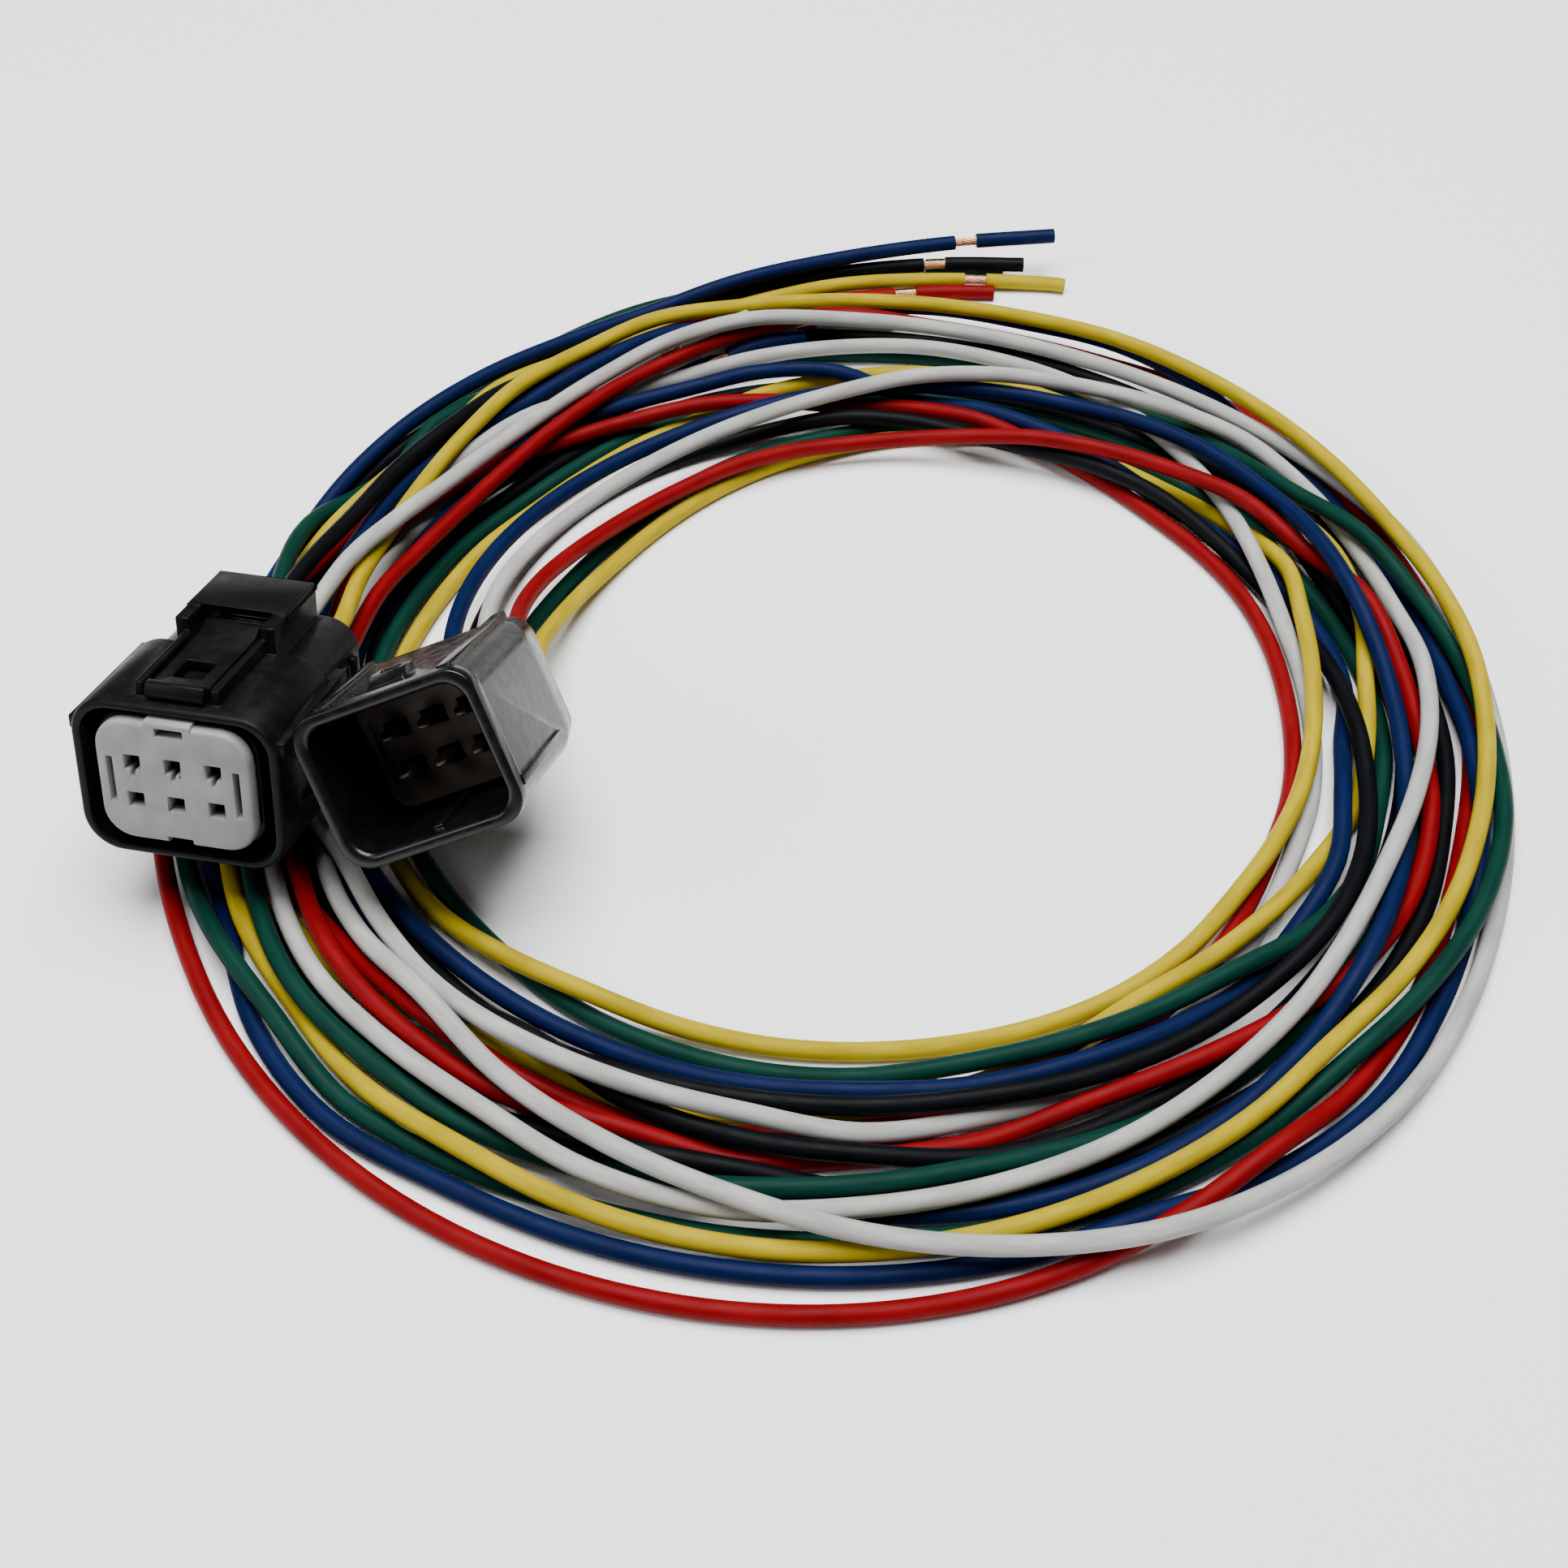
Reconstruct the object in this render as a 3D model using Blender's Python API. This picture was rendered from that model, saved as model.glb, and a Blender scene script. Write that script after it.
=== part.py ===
# Two-connector wiring harness: a six-way female pigtail and a six-way male pigtail,
# their twelve wires laid together in one loose coil.
#
# Frame: metres, +Z up, the table at Z = 0, the origin under the middle of the object's box.
# Both connectors lie at the coil's left (-X), with their mating faces towards -Y.
import math

import bmesh
import bpy
import numpy as np
from mathutils import Euler, Matrix, Vector

MM = 0.001

# ---- driving dimensions, in millimetres and degrees --------------------------------------
PITCH = 3.5                    # cavity pitch, both ways
WIRE_D = 1.65                  # outer diameter of the wire's insulation
CORE_D = 0.95                  # stranded conductor
LEAD_LENGTH = 5.5              # a wire runs straight for this long behind its connector
SLUG_LENGTH = 9.0              # insulation left on the wire's end
STRIP_LENGTH = 2.6             # bare conductor between insulation and slug
GAP = 0.3                      # clearance between neighbouring pieces
ON_TABLE = WIRE_D / 2 + 0.02   # lowest centreline of a wire

COIL_CENTRE = (1.74, -2.86)    # the coil's axis on the table
STATION = 10.0                 # degrees between two points of a coiled wire
LEVEL = 1.85                   # height of one layer of wires
LANE_GAP = 1.86                # least distance between two wires' centrelines
SETTLING = 900                 # rounds of laying the wires down beside and on each other
GUIDED = 0.8                   # share of those rounds in which lanes, stiffness and weight act
LANE_PULL = (0.06, 0.03)       # towards the wire's own lane, sideways and up, fading out
STIFFNESS = 0.05               # towards the middle of a point's two neighbours
SINKING = 0.012                # how far a round lets each point drop
CROWDING = 1.2                 # how firmly two close wires push each other away
OPEN_SKY = 99.0                # no ceiling over a wire
UNDER_GAP = WIRE_D / 2 + 0.35  # from a connector's underside to a passing wire's centreline
FEMALE_SHADOW = (16.6, 14.8, 20.6)   # width, height and length kept free for each connector
MALE_SHADOW = (16.0, 13.2, 19.0)

# each connector: middle of its mating face, heading of its depth axis, pitch and roll
FEMALE_PLACE = dict(at=(-53.41, -30.03, 15.2), heading=77.5, pitch=-14.2, roll=1.2)
MALE_PLACE = dict(at=(-34.26, -31.86, 18.4), heading=79.3, pitch=-24.5, roll=26.5)

FEMALE_LENGTH = 20.5
HOOD = (17.9, 14.2, 3.3)       # width, height, corner radius of the female's hood
HOOD_DROP = -0.3               # the hood's middle against the cavities' middle
HOOD_DEPTH = 9.2               # depth of the groove between hood and plug
PLUG = (13.8, 10.9, 2.2)
LOCK_PLATE = (13.3, 11.0, 2.6)
LOCK_THICK = 1.2
LATCH_AXIS_Y = 8.6
LATCH_AXIS_Z = 7.5

MALE_LENGTH = 19.0
SHROUD = (16.0, 13.0, 2.4)
SHROUD_WALL = 0.85
SHROUD_DEPTH = 10.8
BLADE = (1.5, 0.8)
BLADE_TIP_Y = 6.3

SEAL_PAD = (12.0, 8.9, 2.0)    # rear wire seal and its cap
WIRE_HOLE_D = 2.3
CAVITY = 2.6                   # square terminal cavity

# ---- colours: base colour, roughness, metallic --------------------------------------------
COLOURS = {
    "black_plastic": ((0.010, 0.010, 0.012), 0.30, 0.0),
    "grey_plastic": ((0.50, 0.51, 0.50), 0.45, 0.0),
    "seal": ((0.42, 0.10, 0.05), 0.60, 0.0),
    "tin": ((0.75, 0.75, 0.73), 0.30, 1.0),
    "copper": ((0.80, 0.36, 0.18), 0.35, 1.0),
    "red": ((0.50, 0.012, 0.020), 0.38, 0.0),
    "yellow": ((0.60, 0.50, 0.10), 0.38, 0.0),
    "white": ((0.70, 0.70, 0.66), 0.38, 0.0),
    "blue": ((0.010, 0.035, 0.17), 0.38, 0.0),
    "black": ((0.008, 0.009, 0.012), 0.36, 0.0),
    "green": ((0.004, 0.085, 0.055), 0.38, 0.0),
}

# ---- the wires ----------------------------------------------------------------------------
# A wire leaves cavity (column, row) of its connector and follows hand-chosen lanes clockwise
# round the coil: (degrees travelled from the coil's left side, radius in mm, layer).
WIRES = {
    "female_black": dict(colour="black", cavity=(-1, 1), lanes=[
        (15, 45.0, 4.2), (35, 48.0, 2.6), (55, 55.5, 1.6), (75, 59.0, 0.2), (95, 59.0, 0.0),
        (115, 58.0, 0.0), (140, 56.0, 0.0), (165, 55.0, 0.0), (190, 54.0, 0.0), (215, 57.5, 0.0),
        (240, 57.5, 0.0), (265, 58.0, 0.6), (290, 59.5, 0.8), (315, 58.0, 0.0), (345, 58.5, 0.0),
        (375, 55.5, 0.0), (400, 54.0, 0.0), (425, 58.5, 0.3), (445, 65.0, 1.0), (467, 75.0, 2.2)]),
    "female_white": dict(colour="white", cavity=(0, 1), lanes=[
        (15, 40.5, 5.0), (35, 42.5, 3.6), (55, 47.5, 2.8), (75, 55.5, 2.6), (95, 59.0, 1.8),
        (115, 58.5, 1.2), (140, 58.5, 0.6), (165, 58.0, 0.0), (190, 58.5, 0.0), (215, 61.5, 1.0),
        (240, 68.0, 1.4), (265, 66.0, 2.0), (290, 58.0, 2.2), (315, 54.0, 2.2), (345, 50.5, 0.0),
        (375, 49.0, 0.0), (400, 48.5, 0.0), (430, 55.0, 0.0), (456, 62.5, 0.4)]),
    "female_yellow": dict(colour="yellow", cavity=(1, 1), lanes=[
        (15, 44.5, 4.0), (35, 47.0, 3.0), (55, 53.0, 3.2), (75, 61.5, 2.4), (95, 61.5, 1.8),
        (115, 66.5, 1.6), (140, 56.0, 2.0), (165, 56.5, 2.4), (190, 57.5, 2.2), (215, 58.5, 2.6),
        (240, 58.0, 1.6), (265, 64.5, 1.0), (290, 65.0, 0.8), (315, 60.0, 0.8), (345, 57.8, 1.2),
        (375, 53.5, 1.0), (400, 52.0, 1.0), (425, 57.5, 0.6), (448, 66.0, 0.2), (471, 76.0, 0.0)]),
    "female_green": dict(colour="green", cavity=(-1, -1), lanes=[
        (15, 53.0, 2.4), (35, 52.5, 0.6), (55, 53.5, 0.0), (75, 56.0, 0.0), (95, 56.5, 0.0),
        (115, 55.0, 0.0), (140, 55.0, 1.0), (165, 55.0, 1.6), (190, 58.5, 1.2), (215, 61.0, 1.8),
        (240, 61.0, 0.8), (265, 61.5, 0.0), (290, 62.0, 0.0), (315, 62.0, 0.8), (345, 60.5, 0.0),
        (375, 56.5, 0.0), (400, 56.0, 0.0), (425, 62.0, 0.3), (445, 68.5, 1.0), (465, 77.0, 0.4)]),
    "female_blue": dict(colour="blue", cavity=(0, -1), lanes=[
        (15, 49.0, 2.8), (35, 50.0, 1.8), (55, 54.0, 2.0), (75, 56.0, 1.6), (95, 67.0, 1.0),
        (115, 66.0, 0.6), (140, 58.0, 0.4), (165, 54.5, 1.0), (190, 54.5, 1.0), (215, 59.8, 0.0),
        (240, 62.5, 0.0), (265, 64.5, 0.0), (290, 65.5, 0.0), (315, 62.0, 0.0), (345, 60.0, 1.2),
        (370, 55.5, 1.3), (400, 54.0, 1.0), (430, 59.5, 1.2), (448, 64.5, 1.6), (459, 69.5, 2.6),
        (469, 78.0, 3.4)]),
    "female_red": dict(colour="red", cavity=(1, -1), lanes=[
        (15, 41.5, 3.0), (35, 41.0, 2.2), (55, 44.5, 2.0), (75, 55.0, 1.6), (95, 61.5, 1.0),
        (115, 61.0, 0.2), (140, 58.5, 0.0), (165, 57.0, 0.0), (190, 57.0, 0.0), (215, 58.5, 0.0),
        (240, 63.0, 0.4), (265, 69.0, 0.4), (290, 70.0, 0.0), (315, 67.5, 0.0), (345, 61.5, 1.1),
        (372, 51.5, 1.6), (400, 48.0, 2.2), (430, 59.5, 1.0), (450, 67.0, 0.2), (465, 73.0, 0.0)]),
    "male_blue": dict(colour="blue", cavity=(-1, 1), lanes=[
        (15, 36.5, 3.8), (35, 38.5, 2.2), (55, 39.5, 1.4), (75, 43.0, 1.6), (95, 41.5, 2.0),
        (115, 49.5, 2.0), (140, 50.5, 2.2), (165, 48.0, 2.4), (190, 49.5, 2.2), (215, 52.0, 1.8),
        (240, 60.5, 0.8), (265, 59.5, 0.0), (290, 58.0, 0.0), (315, 52.5, 0.0), (345, 48.6, 0.0),
        (375, 47.5, 0.4), (400, 47.5, 0.4), (440, 48.0, 1.4), (465, 45.5, 1.2), (490, 43.0, 0.2),
        (515, 46.0, 0.0), (540, 46.0, 0.0), (565, 46.5, 0.2), (590, 49.0, 1.6), (615, 51.5, 1.0),
        (640, 48.5, 1.0), (665, 47.0, 0.8), (690, 51.5, 1.0), (705, 48.0, 1.1), (735, 45.0, 1.0),
        (765, 46.0, 0.4), (806, 58.0, 0.0)]),
    "male_white": dict(colour="white", cavity=(0, 1), lanes=[
        (15, 34.5, 5.0), (35, 31.0, 3.6), (55, 34.0, 2.8), (75, 38.0, 2.6), (95, 42.0, 2.6),
        (115, 48.5, 2.2), (140, 55.0, 1.6), (165, 53.5, 0.8), (190, 50.5, 2.6), (215, 52.0, 2.6),
        (240, 55.0, 1.6), (265, 59.0, 1.4), (290, 61.5, 1.2), (315, 59.0, 2.4), (345, 55.2, 1.2),
        (375, 50.5, 1.2), (400, 49.5, 1.4), (440, 54.5, 0.4), (465, 59.0, 0.8), (490, 52.5, 1.2),
        (515, 42.0, 1.2), (540, 41.0, 0.4), (565, 44.0, 0.0), (590, 47.0, 0.0), (615, 51.0, 0.8),
        (640, 55.0, 2.0), (665, 54.0, 2.4), (690, 52.0, 1.8), (705, 50.0, 1.2), (735, 47.0, 1.0),
        (765, 48.0, 1.0), (800, 57.0, 0.6)]),
    "male_red": dict(colour="red", cavity=(1, 1), lanes=[
        (15, 32.5, 3.6), (35, 28.0, 2.6), (55, 31.5, 1.6), (75, 34.5, 1.2), (95, 37.0, 1.0),
        (115, 38.5, 1.4), (140, 44.5, 2.0), (165, 49.0, 1.6), (190, 53.5, 1.6), (215, 57.5, 0.8),
        (240, 52.0, 1.0), (265, 53.0, 0.0), (290, 57.0, 0.8), (315, 56.0, 2.2), (345, 52.9, 1.2),
        (375, 49.5, 1.8), (400, 48.0, 1.6), (440, 44.0, 1.4), (465, 42.5, 1.0), (490, 41.0, 0.0),
        (515, 43.5, 0.0), (540, 40.5, 0.0), (565, 42.0, 0.0), (590, 45.0, 0.0), (615, 50.0, 0.0),
        (640, 53.0, 0.0), (665, 55.0, 1.0), (690, 55.0, 0.6), (705, 54.5, 0.0), (735, 51.0, 0.0),
        (765, 52.0, 0.0), (785, 57.0, 0.0), (812, 63.0, 0.0)]),
    "male_black": dict(colour="black", cavity=(-1, -1), lanes=[
        (15, 34.5, 1.6), (35, 37.5, 0.8), (55, 39.5, 0.4), (75, 40.5, 0.6), (95, 40.5, 1.0),
        (115, 40.5, 1.4), (140, 43.0, 0.4), (165, 44.5, 0.6), (190, 47.5, 1.6), (215, 49.5, 1.4),
        (240, 50.5, 1.4), (265, 50.5, 1.4), (290, 51.0, 1.0), (315, 50.0, 0.2), (345, 46.7, 0.0),
        (375, 45.5, 0.0), (400, 46.0, 0.0), (440, 48.0, 0.0), (465, 49.0, 0.0), (490, 50.5, 0.0),
        (515, 50.0, 1.0), (540, 49.5, 0.0), (565, 51.0, 0.0), (590, 52.5, 0.0), (615, 54.5, 0.6),
        (640, 53.5, 1.0), (665, 52.5, 1.6), (690, 53.5, 0.0), (705, 52.5, 0.0), (735, 49.0, 0.0),
        (765, 50.0, 0.0), (793, 57.0, 0.0)]),
    "male_green": dict(colour="green", cavity=(0, -1), lanes=[
        (15, 28.0, 2.2), (35, 29.0, 1.0), (55, 32.0, 0.2), (75, 37.5, 0.0), (95, 41.5, 0.0),
        (115, 45.5, 0.0), (140, 46.5, 0.0), (165, 48.0, 0.0), (190, 49.5, 0.4), (215, 48.0, 1.6),
        (240, 46.5, 2.0), (265, 47.0, 0.8), (290, 46.0, 0.0), (315, 44.5, 0.2), (345, 44.6, 0.8),
        (375, 44.0, 0.0), (400, 44.0, 0.0), (440, 46.0, 0.0), (465, 47.0, 0.0), (490, 48.5, 0.0),
        (515, 50.0, 0.0), (540, 52.5, 0.0), (565, 54.5, 0.0), (590, 55.0, 0.0), (615, 54.0, 0.2),
        (640, 59.5, 1.2), (665, 62.5, 0.8), (690, 62.0, 1.4), (705, 56.0, 1.2), (735, 52.0, 1.0),
        (768, 54.0, 0.8), (800, 63.0, 0.2)]),
    "male_yellow": dict(colour="yellow", cavity=(1, -1), lanes=[
        (15, 28.0, 2.0), (35, 27.5, 0.6), (55, 29.5, 0.0), (75, 33.5, 0.0), (95, 39.0, 0.0),
        (115, 43.5, 0.0), (140, 45.0, 1.2), (165, 44.5, 1.0), (190, 41.5, 1.0), (215, 43.0, 1.0),
        (240, 44.5, 0.6), (265, 42.5, 0.4), (290, 43.0, 0.6), (315, 46.5, 0.8), (345, 43.7, 0.0),
        (375, 44.0, 0.0), (400, 43.5, 0.0), (440, 45.5, 1.2), (465, 50.0, 1.0), (490, 52.0, 0.0),
        (515, 52.0, 0.6), (540, 50.0, 0.8), (565, 48.0, 0.4), (590, 45.0, 1.0), (615, 47.0, 0.2),
        (640, 49.0, 0.0), (665, 53.0, 0.6), (690, 57.0, 0.0), (705, 56.5, 0.0), (735, 53.0, 0.0),
        (765, 54.0, 0.0), (780, 59.0, 0.0), (802, 66.0, 0.0)]),
}


def smooth_values(keys, at):
    """Values at angles `at` on a smooth monotone-ended curve through hand-chosen keys."""
    keys = np.array(keys, dtype=float)
    x, y = keys[:, 0], keys[:, 1:]
    slope = np.gradient(y, x, axis=0)
    slope[0] = slope[-1] = 0.0
    i = np.clip(np.searchsorted(x, at, side="right") - 1, 0, len(x) - 2)
    width = (x[i + 1] - x[i])[:, None]
    t = np.clip((at - x[i]) / (x[i + 1] - x[i]), 0.0, 1.0)[:, None]
    return ((2 * t**3 - 3 * t**2 + 1) * y[i] + (t**3 - 2 * t**2 + t) * width * slope[i]
            + (3 * t**2 - 2 * t**3) * y[i + 1] + (t**3 - t**2) * width * slope[i + 1])


def connector_matrix(place):
    """World matrix of a connector, in mm: local +X right, +Y into the depth, +Z up."""
    turn = Euler((math.radians(place["pitch"]), 0, 0)).to_matrix()
    roll = Matrix.Rotation(math.radians(-place["roll"]), 3, "Y")
    head = Matrix.Rotation(math.radians(place["heading"] - 90.0), 3, "Z")
    return Matrix.Translation(Vector(place["at"])) @ (head @ turn @ roll).to_4x4()


def polar(point):
    """Degrees travelled and radius of a point round the coil's centre."""
    dx, dy = point[0] - COIL_CENTRE[0], point[1] - COIL_CENTRE[1]
    return 180.0 - math.degrees(math.atan2(dy, dx)) % 360.0, math.hypot(dx, dy)


def from_polar(travel, radius, height):
    angle = math.radians(180.0 - travel)
    return (COIL_CENTRE[0] + radius * math.cos(angle), COIL_CENTRE[1] + radius * math.sin(angle), height)


def ceilings(travel, radius):
    """Highest centreline a passing wire may take under the connectors, at each point."""
    angle = np.radians(180.0 - travel)
    x, y = COIL_CENTRE[0] + radius * np.cos(angle), COIL_CENTRE[1] + radius * np.sin(angle)
    roof = np.full(len(travel), OPEN_SKY)
    for place, (width, height, length) in ((FEMALE_PLACE, FEMALE_SHADOW), (MALE_PLACE, MALE_SHADOW)):
        into = np.array(connector_matrix(place).inverted())
        foot = into[:3, :3] @ np.stack([x, y, 0.0 * x]) + into[:3, 3:]
        enter, leave = np.full(len(x), -OPEN_SKY), np.full(len(x), OPEN_SKY)
        spans = ((-width / 2, width / 2), (0.0, length), (-height / 2, height / 2))
        for near, (low, high), climb in zip(foot, spans, into[:3, 2]):
            one, two = (low - UNDER_GAP - near) / climb, (high + UNDER_GAP - near) / climb
            enter, leave = np.maximum(enter, np.minimum(one, two)), np.minimum(leave, np.maximum(one, two))
        roof = np.where(enter < leave, np.minimum(roof, enter), roof)
    return np.maximum(roof, ON_TABLE)


def coil_routes():
    """Every wire's points round the coil, kept apart from all the others."""
    names = list(WIRES)
    start, points, target, held, travel, owner = {}, [], [], [], [], []
    for name in names:
        wire = WIRES[name]
        place = FEMALE_PLACE if name.startswith("female") else MALE_PLACE
        length = FEMALE_LENGTH if name.startswith("female") else MALE_LENGTH
        column, row = wire["cavity"]
        straight = [connector_matrix(place) @ Vector((column * PITCH, y, row * PITCH / 2))
                    for y in (length + 1.5, length + LEAD_LENGTH)]
        first = STATION * math.ceil((polar(straight[-1])[0] + 7.0) / STATION)
        last = wire["lanes"][-1][0]
        stations = np.arange(first, last + STATION, STATION)
        lanes = smooth_values(wire["lanes"], stations)
        rest = np.stack([lanes[:, 0], WIRE_D / 2 + lanes[:, 1] * LEVEL], axis=1)
        start[name] = len(points)
        points += [(polar(p)[1], p[2]) for p in straight] + [tuple(p) for p in rest]
        travel += [polar(p)[0] for p in straight] + list(stations)
        held += [True] * len(straight) + [False] * len(rest)
        owner += [name] * (len(straight) + len(rest))
    points = np.array(points)
    rest = points.copy()
    travel = np.array(travel)
    held = np.array(held)
    count = len(points)
    chain = np.array([i for i in range(count - 1) if owner[i] == owner[i + 1]])
    # two wires meet where both cross the same sector between two stations
    sector = np.array([int(math.floor((travel[i] + travel[i + 1]) / 2 / STATION)) % int(360 / STATION)
                       for i in chain])
    pairs = [(chain[a], chain[b]) for a in range(len(chain)) for b in range(a + 1, len(chain))
             if sector[a] == sector[b]]
    a0 = np.array([p[0] for p in pairs])
    b0 = np.array([p[1] for p in pairs])
    inner = np.array([i for i in range(1, count - 1) if owner[i - 1] == owner[i] == owner[i + 1]])
    passing = travel > 200.0
    for step in range(SETTLING):
        left = 1.0 - step / (GUIDED * SETTLING)
        if left > 0.0:
            points += left * (rest - points) * LANE_PULL
            middle = (points[inner - 1] + points[inner + 1]) / 2
            points[inner] += STIFFNESS * (middle - points[inner])
            points[:, 1] -= SINKING
        first, second = points[a0] - points[b0], points[a0 + 1] - points[b0 + 1]
        change = second - first
        t = np.clip(-(first * change).sum(1) / np.maximum((change**2).sum(1), 1e-9), 0.0, 1.0)
        apart = first + t[:, None] * change
        size = np.maximum(np.linalg.norm(apart, axis=1), 1e-6)
        push = np.maximum(LANE_GAP - size, 0.0)
        hit = push > 0
        move = (0.45 * push / size)[:, None] * apart
        shift, weight = np.zeros_like(points), np.full(count, 1e-9)
        for index, sign, share in ((a0, 1, 1 - t), (a0 + 1, 1, t), (b0, -1, 1 - t), (b0 + 1, -1, t)):
            np.add.at(shift, index[hit], (sign * share[:, None] * move)[hit])
            np.add.at(weight, index[hit], share[hit])
        points += shift / np.maximum(weight, 1.0)[:, None] * CROWDING
        roof = np.where(passing, ceilings(travel, points[:, 0]), OPEN_SKY)
        points[:, 1] = np.clip(points[:, 1], ON_TABLE, roof)
        points[held] = rest[held]
    routes = {}
    for name in names:
        own = range(start[name], start[name] + owner.count(name))
        route = [Vector(from_polar(travel[i], *points[i])) for i in own]
        beyond = travel[own[-1]] - WIRES[name]["lanes"][-1][0]
        route[-1] = route[-1].lerp(route[-2], beyond / STATION)
        routes[name] = [tuple(point) for point in route]
    return routes


def wire_route(name, coil_points):
    """The whole centreline of a wire, in mm, from its terminal to its end."""
    female = name.startswith("female")
    place = FEMALE_PLACE if female else MALE_PLACE
    length = FEMALE_LENGTH if female else MALE_LENGTH
    column, row = WIRES[name]["cavity"]
    crimp_end = length - 5.2 if female else length - 3.8
    inside = [connector_matrix(place) @ Vector((column * PITCH, y, row * PITCH / 2))
              for y in (crimp_end, length - 1.0)]
    return [tuple(p) for p in inside] + coil_points


def cut_route(route, first, last):
    """The part of a route between two distances from its start."""
    points = [Vector(p) for p in route]
    done, part = 0.0, []
    for a, b in zip(points, points[1:]):
        span = (b - a).length
        if done <= first < done + span:
            part.append(a.lerp(b, (first - done) / span))
        if first < done + span < last:
            part.append(b)
        if done < last <= done + span:
            part.append(a.lerp(b, (last - done) / span))
            break
        done += span
    return part


def route_length(route):
    return sum((Vector(b) - Vector(a)).length for a, b in zip(route, route[1:]))


# ---- building blocks ------------------------------------------------------------------------
def clear_scene():
    for old in list(bpy.data.objects):
        bpy.data.objects.remove(old, do_unlink=True)


def material(kind):
    found = bpy.data.materials.get(kind)
    if found:
        return found
    colour, roughness, metallic = COLOURS[kind]
    made = bpy.data.materials.new(kind)
    made.use_nodes = True
    shader = made.node_tree.nodes["Principled BSDF"]
    shader.inputs["Base Color"].default_value = (*colour, 1.0)
    shader.inputs["Roughness"].default_value = roughness
    shader.inputs["Metallic"].default_value = metallic
    return made


def add_object(name, mesh, kind, parent):
    made = bpy.data.objects.new(name, mesh)
    bpy.context.collection.objects.link(made)
    if kind:
        mesh.materials.append(material(kind))
        mesh.shade_smooth()
        mesh.set_sharp_from_angle(angle=math.radians(35))
    else:
        made.hide_render = True
        made.display_type = "WIRE"
    made.parent = parent
    return made


def outline(width, height, radius, segments):
    """A rounded rectangle in X and Z, anticlockwise seen from +Y's far side."""
    points = []
    for corner, (sx, sz) in enumerate(((1, 1), (-1, 1), (-1, -1), (1, -1))):
        for step in range(segments + 1):
            angle = math.pi / 2 * (corner + step / segments)
            points.append((sx * (width / 2 - radius) + radius * math.cos(angle),
                           sz * (height / 2 - radius) + radius * math.sin(angle)))
    return points


def loft(name, rings, kind, parent, segments=3):
    """A closed solid skinned through rounded rectangles: (width, height, radius, y, x, z)."""
    shape = bmesh.new()
    loops = []
    for width, height, radius, y, x, z in rings:
        loops.append([shape.verts.new(((px + x) * MM, y * MM, (pz + z) * MM))
                      for px, pz in outline(width, height, radius, segments)])
    for one, two in zip(loops, loops[1:]):
        for i in range(len(one)):
            k = (i + 1) % len(one)
            shape.faces.new((one[i], one[k], two[k], two[i]))
    shape.faces.new(loops[0][::-1])
    shape.faces.new(loops[-1])
    bmesh.ops.recalc_face_normals(shape, faces=shape.faces)
    mesh = bpy.data.meshes.new(name)
    shape.to_mesh(mesh)
    shape.free()
    return add_object(name, mesh, kind, parent)


def boxes(name, spans, parent, kind=None):
    """One mesh of boxes, each ((x0, x1), (y0, y1), (z0, z1)) in mm."""
    shape = bmesh.new()
    for (x0, x1), (y0, y1), (z0, z1) in spans:
        centre = Matrix.Translation(Vector(((x0 + x1) / 2, (y0 + y1) / 2, (z0 + z1) / 2)) * MM)
        size = Matrix.Diagonal((*(Vector((x1 - x0, y1 - y0, z1 - z0)) * MM), 1.0))
        bmesh.ops.create_cube(shape, size=1.0, matrix=centre @ size)
    mesh = bpy.data.meshes.new(name)
    shape.to_mesh(mesh)
    shape.free()
    return add_object(name, mesh, kind, parent)


def rods(name, centres, diameter, y0, y1, parent, sides=10):
    """One mesh of round rods along Y at (x, z) centres, used to drill wire holes."""
    shape = bmesh.new()
    for x, z in centres:
        at = Matrix.Translation(Vector((x, (y0 + y1) / 2, z)) * MM) @ Matrix.Rotation(math.pi / 2, 4, "X")
        bmesh.ops.create_cone(shape, cap_ends=True, segments=sides, radius1=diameter / 2 * MM,
                              radius2=diameter / 2 * MM, depth=(y1 - y0) * MM, matrix=at)
    mesh = bpy.data.meshes.new(name)
    shape.to_mesh(mesh)
    shape.free()
    return add_object(name, mesh, None, parent)


def combine(target, other, operation):
    modifier = target.modifiers.new(operation.lower(), "BOOLEAN")
    modifier.operation = operation
    modifier.solver = "EXACT"
    modifier.object = other


def cavities():
    return [(column * PITCH, row * PITCH / 2) for row in (1, -1) for column in (-1, 0, 1)]


def square_spans(size, y0, y1):
    half = size / 2
    return [((x - half, x + half), (y0, y1), (z - half, z + half)) for x, z in cavities()]


def placed_empty(name, place):
    frame = connector_matrix(place)
    empty = bpy.data.objects.new(name, None)
    bpy.context.collection.objects.link(empty)
    empty.matrix_world = Matrix.Translation(frame.translation * MM) @ frame.to_3x3().to_4x4()
    return empty


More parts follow.
